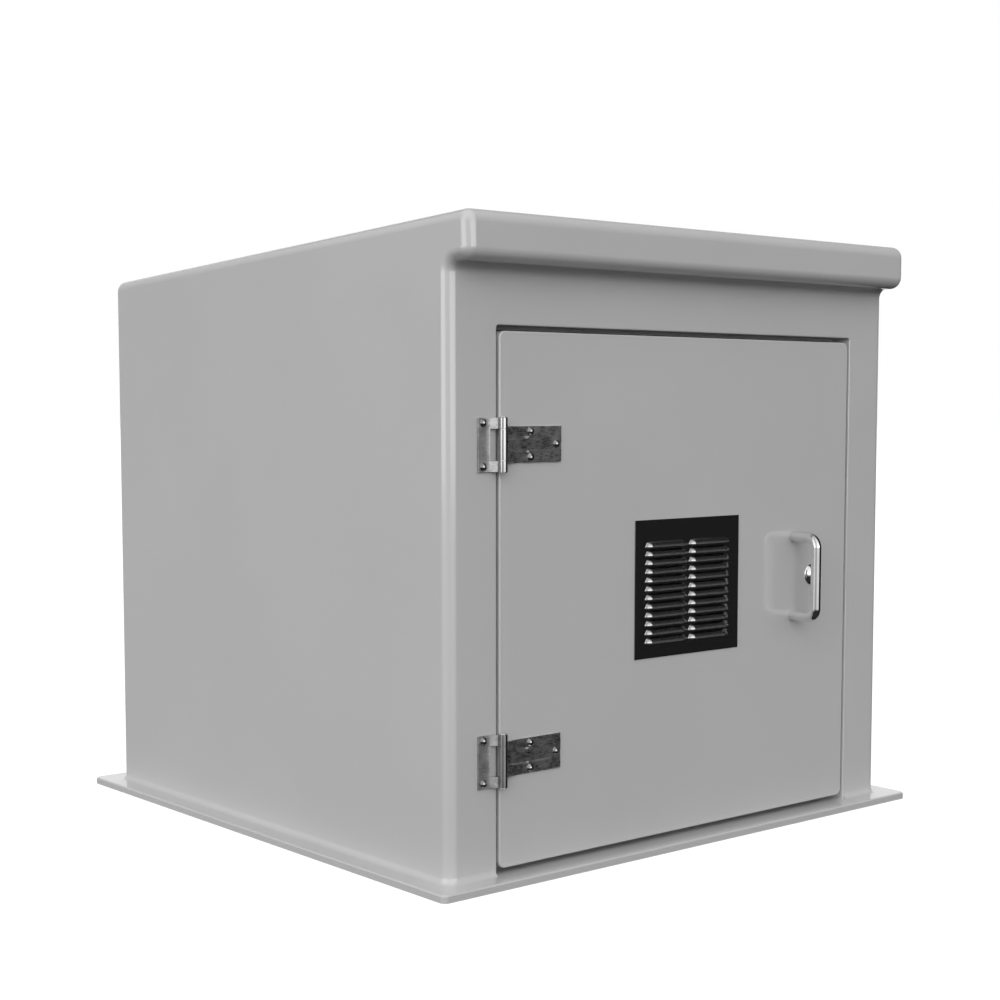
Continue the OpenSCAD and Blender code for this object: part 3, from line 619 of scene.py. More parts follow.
def sealTree():
    tree, given, result = newTree("sealRun", [("Width", "Float"), ("Height", "Float"), ("Strip Width", "Float"),
                                              ("Strip Thickness", "Float"), ("Corner", "Float"), ("Edge", "Float"),
                                              ("Centre", "Vector"), ("Finish", "Material")])
    run = addNode(tree, "GeometryNodeCurvePrimitiveQuadrilateral")
    turn = setSockets(addNode(tree, "GeometryNodeFilletCurve", mode="POLY"), Count=10)
    up = addNode(tree, "GeometryNodeSetCurveNormal", mode="Z_UP")
    strip = addNode(tree, "GeometryNodeCurvePrimitiveQuadrilateral")
    ease = setSockets(addNode(tree, "GeometryNodeFilletCurve", mode="POLY"), Count=4)
    sweep = addNode(tree, "GeometryNodeCurveToMesh")
    place = setSockets(addNode(tree, "GeometryNodeTransform"), Rotation=(math.radians(90), 0, 0))
    smooth = addNode(tree, "GeometryNodeSetShadeSmooth")
    wire(tree, (given.outputs["Width"], run.inputs["Width"]), (given.outputs["Height"], run.inputs["Height"]),
         (run.outputs[0], turn.inputs["Curve"]), (given.outputs["Corner"], turn.inputs["Radius"]),
         (turn.outputs[0], up.inputs["Curve"]), (given.outputs["Strip Width"], strip.inputs["Width"]),
         (given.outputs["Strip Thickness"], strip.inputs["Height"]), (strip.outputs[0], ease.inputs["Curve"]),
         (given.outputs["Edge"], ease.inputs["Radius"]), (up.outputs[0], sweep.inputs["Curve"]),
         (ease.outputs[0], sweep.inputs["Profile Curve"]), (sweep.outputs[0], place.inputs["Geometry"]),
         (given.outputs["Centre"], place.inputs["Translation"]), (place.outputs[0], smooth.inputs["Geometry"]))
    endTree(tree, given, result, smooth.outputs[0])
    return tree


def makeSeal():
    s = sealSizes
    low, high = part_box("door_seal")
    piece = linkPiece("doorSeal", bpy.data.meshes.new("doorSeal"))
    runTree(piece, sealTree(), {"Width": high.x - low.x - s["strip"], "Height": high.z - low.z - s["strip"],
                                "Strip Width": s["strip"], "Strip Thickness": high.y - low.y,
                                "Corner": s["cornerFillet"], "Edge": s["edgeFillet"],
                                "Centre": tuple((low + high) / 2), "Finish": rubber})
    evenNormals(piece)
    smoothFaces(piece, 40)
    attach(piece, "cabinet", "seal_rubber", "door_seal")


makeSeal()


# hinges

hingeSizes = {"leafEdge": 0.0007, "pinEdge": 0.0006, "pinOut": 0.012, "knuckle": 0.0076}


def knuckleFinish(piece):
    # the rolled knuckle is polished by use, the flat sheet keeps its brush lines
    axisX, axisY = doorLow.x - shellSizes["doorGap"] / 2, frontY - hingeSizes["pinOut"]
    piece.data.materials.append(rolled)
    for face in piece.data.polygons:
        if math.hypot(face.center.x - axisX, face.center.y - axisY) < hingeSizes["knuckle"]:
            face.material_index = 1


for level in ("upper", "lower"):
    knuckleFinish(dressed(level + "_hinge_frame_leaf", level + "FrameLeaf", [brushed], "cabinet", "stainless",
                          hingeSizes["leafEdge"]))
    # the crank and the rib of this leaf stay crisp
    knuckleFinish(dressed(level + "_hinge_door_leaf", level + "DoorLeaf", [mottled], "door", "stainless",
                          hingeSizes["leafEdge"], smooth=16, angle=50))
    dressed(level + "_hinge_pin", level + "HingePin", [bright], "cabinet", "bright_metal", hingeSizes["pinEdge"])
print("seal and hinges made")


# fasteners

boltSizes = {"headHeight": 0.005, "lip": 0.0008, "shank": 0.004, "bore": 0.0041, "threadStep": 0.00125,
             "threadDepth": 0.0006, "threadLength": 0.014, "endSpace": 0.001, "tip": 0.0008, "taper": 0.001}
nutSizes = {"chamfer": 0.0006, "face": 0.97, "rise": 0.0001, "steps": 24, "ventBore": 0.0026}


def boltPart(size):
    s = boltSizes
    shank, step, length = s["shank"], s["threadStep"], size.y - s["headHeight"]
    start = max(s["endSpace"], length - s["threadLength"])
    outline = domeOutline(size.x / 2, s["headHeight"], 8, s["lip"]) + [(shank, 0), (shank, start)]
    addThread(outline, shank, s["threadDepth"], start, length - s["endSpace"] - step, step)
    outline += [(shank - 0.0002, length - s["tip"]), (shank - s["taper"], length), (0, length)]
    return lathe(outline, 28)


def hexRing(bm, acrossFlats, depth, lift):
    ring = []
    for k in range(nutSizes["steps"]):
        a = 2 * math.pi * k / nutSizes["steps"]
        fold = ((a + math.pi / 6) % (math.pi / 3)) - math.pi / 6  # corners lie on X
        r = acrossFlats / 2 / math.cos(math.pi / 6 - abs(fold))
        # the chamfer falls at 30 degrees towards the corners
        ring.append(bm.verts.new((r * math.cos(a), depth + lift * (r - acrossFlats / 2) * 0.577, r * math.sin(a))))
    return ring


def roundRing(bm, radius, depth):
    return [bm.verts.new(p) for p in ringPoints(radius, depth, nutSizes["steps"])]


def joinRings(bm, rings):
    for near, far in zip(rings, rings[1:]):
        for k in range(len(near)):
            m = (k + 1) % len(near)
            bm.faces.new((near[k], near[m], far[m], far[k]))


def nutPart(size, bore):
    n = nutSizes
    flats, height, face = size.z, size.y, size.z / 2 * n["face"]
    bm = bmesh.new()
    rings = [roundRing(bm, bore, n["chamfer"]), roundRing(bm, bore + n["chamfer"], 0), roundRing(bm, face, 0),
             hexRing(bm, flats, n["rise"], 1), hexRing(bm, flats, height - n["rise"], -1),
             roundRing(bm, face, height), roundRing(bm, bore + n["chamfer"], height),
             roundRing(bm, bore, height - n["chamfer"])]
    joinRings(bm, rings + rings[:1])
    return bm


def washerPart(size):
    outer, bore, thick = size.x / 2, boltSizes["bore"], size.y
    e = min(0.0003, thick / 4)
    bm = lathe([(bore, e), (bore + e, 0), (outer - e, 0), (outer, e), (outer, thick - e), (outer - e, thick),
                (bore + e, thick), (bore, thick - e), (bore, e)], 28)
    bmesh.ops.remove_doubles(bm, verts=bm.verts, dist=1e-6)
    return bm


handleBoltSizes = {"headHeight": 0.0055, "threadFrom": 0.0009, "threadTo": 0.013}


def handleBolt(size):
    s, n = handleBoltSizes, nutSizes
    shank, flats, back, face = boltSizes["shank"], size.z, size.y, size.z / 2 * nutSizes["face"]
    seat = back - s["headHeight"]
    bm = bmesh.new()
    rings = [roundRing(bm, shank, seat), roundRing(bm, face, seat), hexRing(bm, flats, seat + n["rise"], 1),
             hexRing(bm, flats, back - n["rise"], -1), roundRing(bm, face, back)]
    joinRings(bm, rings)
    bm.faces.new(rings[-1])
    outline = [(0, 0), (shank - boltSizes["taper"], 0), (shank, s["threadFrom"])]
    addThread(outline, shank, boltSizes["threadDepth"], s["threadFrom"], s["threadTo"], boltSizes["threadStep"])
    lathe(outline + [(shank, seat)], n["steps"], bm=bm)
    bmesh.ops.remove_doubles(bm, verts=bm.verts, dist=1e-6)
    return bm


screwSizes = {"headHeight": 0.003, "shank": 0.0025, "core": 0.0018, "plain": 0.004, "step": 0.0022, "point": 0.003,
              "recess": 0.0012, "recessDeep": 0.0014, "recessRim": 0.002, "taper": 0.001, "edge": 0.0002}


def boardScrew(size):
    s = screwSizes
    shank, core, reach = s["shank"], s["core"], size.y - s["headHeight"]
    dome = domeOutline(size.x / 2, s["headHeight"], 6)
    outline = [(0, -s["recess"]), (s["recess"], -s["recessDeep"])] + [p for p in dome if p[0] > core]
    outline += [(shank, 0), (shank, s["plain"])]
    addThread(outline, shank, shank - core, s["plain"], reach - s["plain"], s["step"])
    return lathe(outline + [(core, reach - s["point"]), (0, reach)], 20)


def keepScrew(size):
    s = screwSizes
    shank, long, wide, edge, taper = s["shank"], size.y, size.x / 2, s["edge"], s["taper"]
    return lathe([(0, 0), (shank - taper, 0), (shank, taper), (shank, long - shank), (wide, long - edge),
                  (wide - edge, long), (s["recessRim"], long), (s["recess"], long - s["recess"]),
                  (0, long - s["recessDeep"])], 24)


for side, body in (("frame", "cabinet"), ("door", "door")):
    placeParts(side + "_hinge_bolts", side + "HingeBolts", body, boltPart, "bright_metal", boltMetal,
               boltSizes["headHeight"])
    placeParts(side + "_hinge_nuts", side + "HingeNuts", body, lambda size: nutPart(size, boltSizes["bore"]))
    placeParts(side + "_hinge_washers", side + "HingeWashers", body, washerPart)
placeParts("handle_bolts", "handleBolts", "door", handleBolt)
placeParts("handle_washers", "handleWashers", "door", washerPart)
placeParts("vent_nuts", "ventNuts", "door", lambda size: nutPart(size, nutSizes["ventBore"]))
placeParts("backboard_screws", "boardScrews", "cabinet", boardScrew, lift=screwSizes["headHeight"])
placeParts("keep_screws", "keepScrews", "cabinet", keepScrew)
print("fasteners made")


# louvred vent: a slotted sheet with one pressed hood on every slot

ventSizes = {"rows": 12, "pitch": 0.0144, "length": 0.097, "gap": 0.005, "hoodRadius": 0.010, "hoodSink": 0.004,
             "drop": 0.005, "sheet": 0.0015, "hoodSheet": 0.0011, "flare": 0.0012, "endStretch": 1.6, "lip": 0.0012,
             "lipTurn": 0.6, "lift": 0.00035, "sunk": 0.00005, "slotEnd": 0.005, "slotFrom": 0.0002,
             "slotTo": 0.0062, "sheetEdge": 0.0003, "frameEdge": 0.0005}
studSizes = {"radius": 0.0025, "plain": 0.006, "step": 0.0008, "depth": 0.0004, "endSpace": 0.0016, "tip": 0.0018}
blackEnamel = makeBlack(frontY - ventSizes["sheet"])


def hoodPart():
    v = ventSizes
    r, sink = v["hoodRadius"], v["hoodSink"]
    halfStraight = v["length"] / 2 - v["endStretch"] * math.sqrt(r * r - sink * sink)
    limit = math.acos(sink / r)
    turns, rises = 9, 9
    stations = [(-1, limit * (1 - k / turns)) for k in range(turns + 1)]
    stations += [(1, limit * k / turns) for k in range(turns + 1)]
    bm = bmesh.new()
    rows = []
    for side, turn in stations:
        top = math.acos(min(1.0, sink / (r * math.cos(turn)))) if turn < limit else 0.0
        # the rolled lip first, then up over the hood
        lip = [v["lipTurn"] * k for k in (2, 1)]
        section = [(r - v["lip"] * (1 - math.cos(a)), -v["lip"] * math.sin(a)) for a in lip]
        section += [(r * math.cos(top * k / rises), r * math.sin(top * k / rises)) for k in range(rises + 1)]
        row = [bm.verts.new((side * (halfStraight + v["endStretch"] * out * math.sin(turn)),
                             sink - out * math.cos(turn), z)) for out, z in section]
        foot = row[-1].co
        away = Vector((foot.x - side * halfStraight, 0, foot.z)) if turn > 0 else Vector((0, 0, 1))
        away = away.normalized() if away.length > 1e-9 else Vector((side, 0, 0))
        row.append(bm.verts.new(foot + away * v["flare"] + Vector((0, v["sunk"], 0))))
        foot += Vector((0, -v["lift"], 0))
        rows.append(row)
    for near, far in zip(rows, rows[1:]):
        for k in range(len(near) - 1):
            bm.faces.new((near[k], near[k + 1], far[k + 1], far[k]))
    bmesh.ops.remove_doubles(bm, verts=bm.verts, dist=1e-6)
    bmesh.ops.recalc_face_normals(bm, faces=bm.faces)
    if sum(f.normal.y * f.calc_area() for f in bm.faces) > 0:
        bmesh.ops.reverse_faces(bm, faces=bm.faces)
    piece = thicken(pieceFrom(bm, "louvreHood", [blackEnamel]), v["hoodSheet"])
    return smoothFaces(piece, 50, weighted=False)


def slottedSheet(low, high):
    # the sheet, and the place of its first hood
    v = ventSizes
    midX, midZ = (low.x + high.x) / 2, (low.z + high.z) / 2
    halfHood = math.sqrt(v["hoodRadius"] ** 2 - v["hoodSink"] ** 2)
    lowest = midZ - v["drop"] - ((v["rows"] - 1) * v["pitch"] + halfHood) / 2
    columnX = (v["length"] + v["gap"]) / 2
    halfSlot = v["length"] / 2 - v["slotEnd"]
    lips = [lowest + k * v["pitch"] for k in range(v["rows"])]
    xs = [low.x, midX - columnX - halfSlot, midX - columnX + halfSlot, midX + columnX - halfSlot,
          midX + columnX + halfSlot, high.x]
    zs = [low.z] + [z + d for z in lips for d in (v["slotFrom"], v["slotTo"])] + [high.z]
    bm = bmesh.new()
    grid = [[bm.verts.new((x, frontY - v["sheet"], z)) for x in xs] for z in zs]
    for j in range(len(zs) - 1):
        for i in range(len(xs) - 1):
            if j % 2 == 1 and i in (1, 3):
                continue
            bm.faces.new((grid[j][i], grid[j][i + 1], grid[j + 1][i + 1], grid[j + 1][i]))
    piece = thicken(pieceFrom(bm, "louvrePlate", [blackEnamel]), v["sheet"])
    softEdges(piece, v["sheetEdge"], 60)
    return piece, (midX - columnX, frontY - v["sheet"], lowest)


def louvreTree():
    # hoods sit on a grid of points: two columns, one row per slot
    tree, given, result = newTree("louvreRows", [("Hood", "Object"), ("Rows", "Int"), ("Pitch", "Float"),
                                                 ("Column Step", "Float"), ("First", "Vector"),
                                                 ("Finish", "Material")])
    line = addNode(tree, "GeometryNodeMeshLine")
    across = addNode(tree, "ShaderNodeCombineXYZ")
    upward = addNode(tree, "ShaderNodeCombineXYZ")
    pair = setSockets(addNode(tree, "GeometryNodeMeshLine"), Count=2)
    columns = addNode(tree, "GeometryNodeInstanceOnPoints")
    points = addNode(tree, "GeometryNodeRealizeInstances")
    info = addNode(tree, "GeometryNodeObjectInfo")
    hoods = addNode(tree, "GeometryNodeInstanceOnPoints")
    both = addNode(tree, "GeometryNodeJoinGeometry")
    wire(tree, (given.outputs["Rows"], line.inputs["Count"]), (given.outputs["First"], line.inputs["Start Location"]),
         (given.outputs["Pitch"], upward.inputs["Z"]), (upward.outputs[0], line.inputs["Offset"]),
         (given.outputs["Column Step"], across.inputs["X"]), (across.outputs[0], pair.inputs["Offset"]),
         (line.outputs[0], columns.inputs["Points"]), (pair.outputs[0], columns.inputs["Instance"]),
         (columns.outputs[0], points.inputs[0]), (points.outputs[0], hoods.inputs["Points"]),
         (given.outputs["Hood"], info.inputs["Object"]), (info.outputs["Geometry"], hoods.inputs["Instance"]),
         (given.outputs["Geometry"], both.inputs[0]), (hoods.outputs[0], both.inputs[0]))
    endTree(tree, given, result, both.outputs[0])
    return tree


def studPart(size):
    s = studSizes
    outline = [(0, 0), (s["radius"], 0), (s["radius"], s["plain"])]
    addThread(outline, s["radius"], s["depth"], s["plain"], size.y - s["endSpace"], s["step"])
    return lathe(outline + [(s["tip"], size.y), (0, size.y)], 16)


def makeVent():
    v = ventSizes
    piece, first = slottedSheet(*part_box("screen_frame"))
    hood = hoodPart()
    runTree(piece, louvreTree(), {"Hood": hood, "Rows": v["rows"], "Pitch": v["pitch"],
                                  "Column Step": v["length"] + v["gap"], "First": first, "Finish": blackEnamel})
    bpy.data.objects.remove(hood)
    attach(piece, "door", "black_paint", "louvre_plate")
    placeParts("vent_studs", "ventStuds", "door", studPart)  # welded to the back of the sheet
    dressed("screen_frame", "screenFrame", [blackEnamel], "door", "black_paint", v["frameEdge"])


makeVent()


# woven insect screen

screenSizes = {"pitch": 0.0050, "wire": 0.00034, "weave": 0.00026}


def screenTree():
    tree, given, result = newTree("wovenScreen", [("Width", "Float"), ("Height", "Float"), ("Pitch", "Float"),
                                                  ("Wire", "Float"), ("Weave", "Float"), ("Centre", "Vector"),
                                                  ("Finish", "Material")])
    pitch = given.outputs["Pitch"]

    def times(a, b):
        return mathNode(tree, "MULTIPLY", a, b)

    def wholePitches(length):
        return mathNode(tree, "FLOOR", mathNode(tree, "DIVIDE", length, pitch))

    def phase(curve, at):
        return mathNode(tree, curve, times(mathNode(tree, "DIVIDE", at, pitch), math.pi))

    joined = addNode(tree, "GeometryNodeJoinGeometry")
    half = times(pitch, 0.5)
    for across in (True, False):
        axisRun, axisStep = ("X", "Z") if across else ("Z", "X")
        count = wholePitches(given.outputs["Height" if across else "Width"])
        steps = times(wholePitches(given.outputs["Width" if across else "Height"]), 2)
        span = times(steps, half)
        wireEnd, startAt, stepBy, firstAt, shift = [addNode(tree, "ShaderNodeCombineXYZ") for _ in range(5)]
        line = addNode(tree, "GeometryNodeCurvePrimitiveLine")
        rows = addNode(tree, "GeometryNodeMeshLine")
        points = addNode(tree, "GeometryNodeResampleCurve")
        put = addNode(tree, "GeometryNodeInstanceOnPoints")
        real = addNode(tree, "GeometryNodeRealizeInstances")
        firstBack = times(times(count, pitch), -0.5)
        wire(tree, (times(span, 0.5), wireEnd.inputs[axisRun]), (times(span, -0.5), startAt.inputs[axisRun]),
             (pitch, stepBy.inputs[axisStep]),
             (mathNode(tree, "ADD", firstBack, half if across else 0.0), firstAt.inputs[axisStep]),
             (startAt.outputs[0], line.inputs["Start"]), (wireEnd.outputs[0], line.inputs["End"]),
             (line.outputs[0], points.inputs["Curve"]), (mathNode(tree, "ADD", steps, 1), points.inputs["Count"]),
             (mathNode(tree, "ADD", count, 0 if across else 1), rows.inputs["Count"]),
             (firstAt.outputs[0], rows.inputs["Start Location"]), (stepBy.outputs[0], rows.inputs["Offset"]),
             (rows.outputs[0], put.inputs["Points"]), (points.outputs[0], put.inputs["Instance"]),
             (put.outputs[0], real.inputs[0]))
        # over one wire, under the next
        spot = addNode(tree, "GeometryNodeInputPosition")
        split = addNode(tree, "ShaderNodeSeparateXYZ")
        move = addNode(tree, "GeometryNodeSetPosition")
        wave = times(times(phase("COSINE", split.outputs["X"]), phase("SINE", split.outputs["Z"])),
                     given.outputs["Weave"])
        ring = setSockets(addNode(tree, "GeometryNodeCurvePrimitiveCircle"), Resolution=5)
        tube = setSockets(addNode(tree, "GeometryNodeCurveToMesh"), Fill_Caps=True)
        wire(tree, (spot.outputs[0], split.inputs[0]), (times(wave, 1 if across else -1), shift.inputs["Y"]),
             (real.outputs[0], move.inputs["Geometry"]), (shift.outputs[0], move.inputs["Offset"]),
             (given.outputs["Wire"], ring.inputs["Radius"]), (move.outputs[0], tube.inputs["Curve"]),
             (ring.outputs[0], tube.inputs["Profile Curve"]), (tube.outputs[0], joined.inputs[0]))
    place = addNode(tree, "GeometryNodeTransform")
    smooth = addNode(tree, "GeometryNodeSetShadeSmooth")
    wire(tree, (joined.outputs[0], place.inputs["Geometry"]), (given.outputs["Centre"], place.inputs["Translation"]),
         (place.outputs[0], smooth.inputs["Geometry"]))
    endTree(tree, given, result, smooth.outputs[0])
    return tree


def makeScreen():
    low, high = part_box("insect_screen")
    piece = linkPiece("insectScreen", bpy.data.meshes.new("insectScreen"))
    runTree(piece, screenTree(), {"Width": high.x - low.x, "Height": high.z - low.z, "Pitch": screenSizes["pitch"],
                                  "Wire": screenSizes["wire"], "Weave": screenSizes["weave"],
                                  "Centre": tuple((low + high) / 2), "Finish": zinc})
    attach(piece, "door", "stainless", "insect_screen")


makeScreen()
print("vent made")


# pull handle, one bent bar

handleSizes = {"radius": 0.009, "bend": 0.017, "bendSteps": 16, "sides": 40}


def barTree():
    tree, given, result = newTree("bentBar", [("Radius", "Float"), ("Bend", "Float"), ("Finish", "Material")])
    path = addNode(tree, "GeometryNodeMeshToCurve")
    turn = addNode(tree, "GeometryNodeFilletCurve", mode="POLY")
    setSockets(turn, Count=handleSizes["bendSteps"], Limit_Radius=True)
    ring = setSockets(addNode(tree, "GeometryNodeCurvePrimitiveCircle"), Resolution=handleSizes["sides"])
    sweep = setSockets(addNode(tree, "GeometryNodeCurveToMesh"), Fill_Caps=True)
    wire(tree, (given.outputs["Geometry"], path.inputs[0]), (path.outputs[0], turn.inputs["Curve"]),
         (given.outputs["Bend"], turn.inputs["Radius"]), (given.outputs["Radius"], ring.inputs["Radius"]),
         (turn.outputs[0], sweep.inputs["Curve"]), (ring.outputs[0], sweep.inputs["Profile Curve"]))
    endTree(tree, given, result, sweep.outputs[0])
    return tree


def makeHandle():
    low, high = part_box("pull_handle")
    r = handleSizes["radius"]
    x, near, bottom, top = (low.x + high.x) / 2, low.y + r, low.z + r, high.z - r
    mesh = bpy.data.meshes.new("pullHandle")
    mesh.from_pydata([(x, frontY, bottom), (x, near, bottom), (x, near, top), (x, frontY, top)],
                     [(0, 1), (1, 2), (2, 3)], [])
    piece = linkPiece("pullHandle", mesh)
    runTree(piece, barTree(), {"Radius": r, "Bend": handleSizes["bend"], "Finish": bright})
    evenNormals(piece)
    smoothFaces(piece, 50)
    attach(piece, "door", "bright_metal", "pull_handle")


makeHandle()


# quarter-turn lock

lockSizes = {"rosetteHeight": 0.009, "rimLip": 0.0006, "bodyRadius": 0.013, "barrelRadius": 0.008,
             "noseRadius": 0.0065, "noseStep": 0.004, "fit": 0.00005, "threadFrom": 0.008, "threadStep": 0.0014,
             "threadDepth": 0.0006, "endSpace": 0.002, "nutBore": 0.0131, "edge": 0.0004, "camEdge": 0.0006}


def makeRosette():
    s = lockSizes
    low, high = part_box("lock_housing")
    rim, back = (high.x - low.x) / 2, high.y - frontY
    barrel, nose, step = s["barrelRadius"] + s["fit"], s["noseRadius"] + s["fit"], -s["noseStep"] - 0.0001
    ball = (rim * rim + s["rosetteHeight"] ** 2) / (2 * s["rosetteHeight"])
    mouth = ball - s["rosetteHeight"] - math.sqrt(ball * ball - nose ** 2)
    outline = [(barrel, back), (barrel, step), (nose, step), (nose, mouth + 0.0002)]
    outline += [p for p in domeOutline(rim, s["rosetteHeight"], 18, s["rimLip"]) if p[0] > s["noseRadius"] + 0.0005]
    outline += [(s["bodyRadius"], 0), (s["bodyRadius"], s["threadFrom"])]
    addThread(outline, s["bodyRadius"], s["threadDepth"], s["threadFrom"], back - s["endSpace"], s["threadStep"])
    outline += [(s["bodyRadius"] - 0.0005, back), (barrel, back)]
    bm = lathe(outline, 64, ((low.x + high.x) / 2, frontY, (low.z + high.z) / 2))
    bmesh.ops.remove_doubles(bm, verts=bm.verts, dist=1e-6)
    bmesh.ops.recalc_face_normals(bm, faces=bm.faces)
    piece = smoothFaces(pieceFrom(bm, "lockRosette", [bright]), 30, weighted=False)
    attach(piece, "door", "bright_metal", "lock_housing")


makeRosette()
placeParts("lock_nut", "lockNut", "door", lambda size: nutPart(size, lockSizes["nutBore"]))
dressed("lock_barrel", "lockBarrel", [bright], "lock", "bright_metal", lockSizes["edge"])
dressed("lock_cam", "lockCam", [brushed], "lock", "stainless", lockSizes["camEdge"])
dressed("cam_screw", "camScrew", [zinc], "lock", "stainless", lockSizes["edge"])
dressed("lock_keep", "lockKeep", [brushed], "cabinet", "stainless", lockSizes["edge"])
print("handle and lock made")


# backboard and battens

boardSizes = {"edge": 0.0012, "battenEdge": 0.0015}


def makeBoard():
    bm = mergedCopy("backboard")
    bm.normal_update()
    for face in bm.faces:
        face.material_index = 0 if abs(face.normal.y) > 0.9 else 1
    piece = softEdges(pieceFrom(bm, "backBoard", [veneer, plyEdge]), boardSizes["edge"], 60)
    smoothFaces(piece)
    attach(piece, "cabinet", "plywood", "backboard")
    dressed("backboard_battens", "boardBattens", [pine], "cabinet", "plywood", boardSizes["battenEdge"])


makeBoard()
print("backboard made")


# camera

cameraPlace = {"at": (-2.1195, -2.5335, 0.7328), "towards": (0.64119, 0.76271, -0.08452), "lens": 63.24,
               "sensor": 36, "shiftY": 0.055, "farthest": 200}


def makeCamera():
    data = bpy.data.cameras.new("photoCamera")
    data.lens = cameraPlace["lens"]
    data.sensor_width = cameraPlace["sensor"]
    data.shift_y = cameraPlace["shiftY"]
    data.clip_end = cameraPlace["farthest"]
    cam = bpy.data.objects.new("photoCamera", data)
    cam.location = cameraPlace["at"]
    cam.rotation_euler = Vector(cameraPlace["towards"]).to_track_quat("-Z", "Y").to_euler()
    scene.collection.objects.link(cam)
    scene.camera = cam


makeCamera()


# studio: white world, pale floor, soft lights, and a dome that only bright metal and gloss see

studio = {"ambient": 1.0, "floorBounce": 0.03, "floorGlow": 0.80, "floorTint": 0.26, "floorRadius": 60,
          "sunSpread": 62, "sunAway": 8, "domeRadius": 30.0, "domeMiddle": 0.5, "domeStep": 2}
# azimuth from +X and elevation, in degrees, of the place each light comes from, and its strength
suns = {"keyLight": (232, 18, 1.60), "leftLight": (178, 15, 0.76), "backLight": (48, 35, 0.9)}
# glow by elevation in degrees, for each part of the dome
domeGlow = {"softbox": [(-90, 0.03), (-20, 0.03), (-13, 0.45), (-11, 0.60), (-7, 0.72), (-5.2, 0.76), (-3.6, 0.85),
                        (-2.9, 1.2), (-2.4, 1.7), (-1.7, 2.1), (-0.9, 2.3), (0.3, 2.4), (9, 2.4), (18, 1.3),
                        (40, 1.0), (90, 0.5)],
            "gap": [(-90, 0.03), (-18, 0.03), (-13, 0.2), (-5, 0.45), (-1, 0.6), (9, 0.7), (90, 0.5)],
            "leftFlag": [(-90, 0.03), (-24, 0.03), (-15, 0.3), (40, 0.3), (90, 0.5)],
            "rightFlag": [(-90, 0.018), (40, 0.018), (60, 0.12), (90, 0.5)],
            "back": [(-90, 0.03), (-12, 0.03), (-6, 1.0), (18, 1.0), (30, 0.1), (60, 0.12), (90, 0.5)]}
# the azimuth where each part starts
domeParts = [(64, "back"), (84, "leftFlag"), (152, "softbox"), (198, "gap"), (243, "softbox"), (295, "rightFlag"),
             (370, "back")]


def emptyTree(owner, outputKind):
    owner.use_nodes = True
    owner.node_tree.nodes.clear()
    return owner.node_tree, addNode(owner.node_tree, outputKind)


def seenDirectly(tree):
    path = addNode(tree, "ShaderNodeLightPath")
    either = mathNode(tree, "MAXIMUM", path.outputs["Is Camera Ray"], path.outputs["Is Glossy Ray"])
    return mathNode(tree, "MAXIMUM", either, path.outputs["Is Transmission Ray"])


def makeWorld():
    scene.world = bpy.data.worlds.new("softSky")
    tree, out = emptyTree(scene.world, "ShaderNodeOutputWorld")
    soft = setSockets(addNode(tree, "ShaderNodeBackground"), Color=flat(1), Strength=studio["ambient"])
    white = setSockets(addNode(tree, "ShaderNodeBackground"), Color=flat(1), Strength=1.0)
    mix = addNode(tree, "ShaderNodeMixShader")
    wire(tree, (seenDirectly(tree), mix.inputs[0]), (soft.outputs[0], mix.inputs[1]),
         (white.outputs[0], mix.inputs[2]), (mix.outputs[0], out.inputs["Surface"]))


def makeFloor():
    bm = bmesh.new()
    bmesh.ops.create_circle(bm, cap_ends=True, cap_tris=False, segments=96, radius=studio["floorRadius"])
    mat = bpy.data.materials.new("paleFloor")
    tree, out = emptyTree(mat, "ShaderNodeOutputMaterial")
    bounce = setSockets(addNode(tree, "ShaderNodeBsdfDiffuse"), Color=flat(studio["floorBounce"]))
    shade = setSockets(addNode(tree, "ShaderNodeBsdfDiffuse"), Color=flat(studio["floorTint"]))
    glow = setSockets(addNode(tree, "ShaderNodeEmission"), Strength=studio["floorGlow"])
    both = addNode(tree, "ShaderNodeAddShader")
    mix = addNode(tree, "ShaderNodeMixShader")
    wire(tree, (shade.outputs[0], both.inputs[0]), (glow.outputs[0], both.inputs[1]),
         (seenDirectly(tree), mix.inputs[0]), (bounce.outputs[0], mix.inputs[1]), (both.outputs[0], mix.inputs[2]),
         (mix.outputs[0], out.inputs["Surface"]))
    floor = pieceFrom(bm, "floorSheet", [mat])
    floor.visible_glossy = False


def levelAt(points, at):
    for (a0, g0), (a1, g1) in zip(points, points[1:]):
        if at <= a1:
            return g0 + (g1 - g0) * max(0.0, at - a0) / (a1 - a0)
    return points[-1][1]


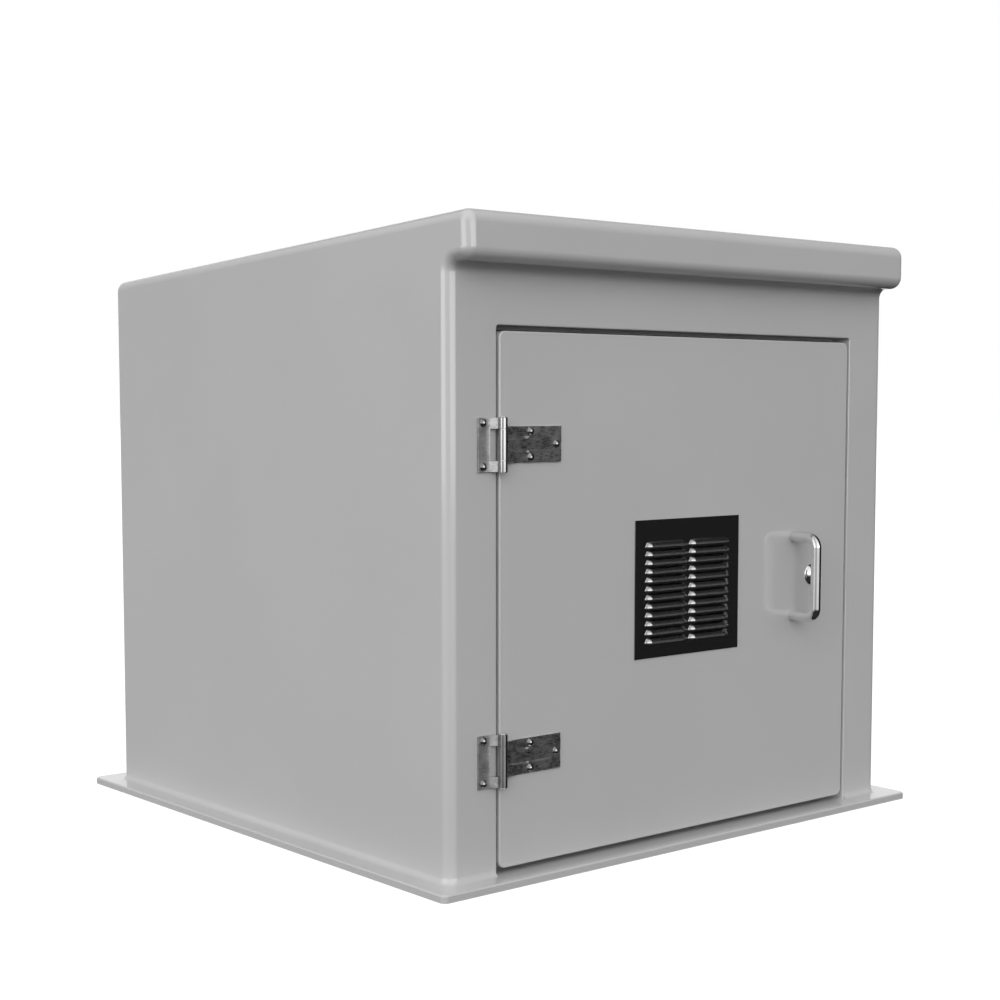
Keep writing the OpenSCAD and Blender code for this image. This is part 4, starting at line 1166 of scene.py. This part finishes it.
def domeLevel(azimuth, elevation, ramp=3.0):
    # softboxes and flags round the object, blended over a few degrees where they meet
    level = levelAt(domeGlow[domeParts[0][1]], elevation)
    for start, part in domeParts[1:]:
        share = min(1.0, max(0.0, (azimuth - start + ramp) / (2 * ramp)))
        share = share * share * (3 - 2 * share)
        level += (levelAt(domeGlow[part], elevation) - level) * share
    return level


def towards(azimuth, elevation):
    a, e = math.radians(azimuth), math.radians(elevation)
    return Vector((math.cos(e) * math.cos(a), math.cos(e) * math.sin(a), math.sin(e)))


def makeDome():
    bm = bmesh.new()
    store = bm.verts.layers.float.new("glow")
    heights = sorted({e for points in domeGlow.values() for e, _ in points} | {-89.9, 89.9})
    rows = []
    for azimuth in range(domeParts[0][0], domeParts[0][0] + 361, studio["domeStep"]):
        row = []
        for elevation in heights:
            v = bm.verts.new(towards(azimuth, elevation) * studio["domeRadius"]
                             + Vector((0, 0, studio["domeMiddle"])))
            v[store] = domeLevel(azimuth, elevation)
            row.append(v)
        rows.append(row)
    for near, far in zip(rows, rows[1:]):
        for k in range(len(heights) - 1):
            bm.faces.new((near[k], far[k], far[k + 1], near[k + 1]))
    mat = bpy.data.materials.new("domeGlow")
    tree, out = emptyTree(mat, "ShaderNodeOutputMaterial")
    lit = addNode(tree, "ShaderNodeEmission")
    level = addNode(tree, "ShaderNodeAttribute", attribute_name="glow")
    wire(tree, (level.outputs["Fac"], lit.inputs["Strength"]), (lit.outputs[0], out.inputs["Surface"]))
    dome = pieceFrom(bm, "reflectionDome", [mat])
    for ray in ("camera", "diffuse", "transmission", "volume_scatter", "shadow"):
        setattr(dome, "visible_" + ray, False)


def makeSun(name, azimuth, elevation, strength):
    data = bpy.data.lights.new(name, "SUN")
    data.energy = strength
    data.angle = math.radians(studio["sunSpread"])
    lamp = bpy.data.objects.new(name, data)
    source = towards(azimuth, elevation)
    lamp.location = source * studio["sunAway"]
    lamp.rotation_euler = (-source).to_track_quat("-Z", "Y").to_euler()
    lamp.visible_camera = False
    lamp.visible_glossy = False
    scene.collection.objects.link(lamp)


makeWorld()
makeFloor()
makeDome()
for name, values in suns.items():
    makeSun(name, *values)
scene.view_settings.view_transform = "Standard"
print("studio made")
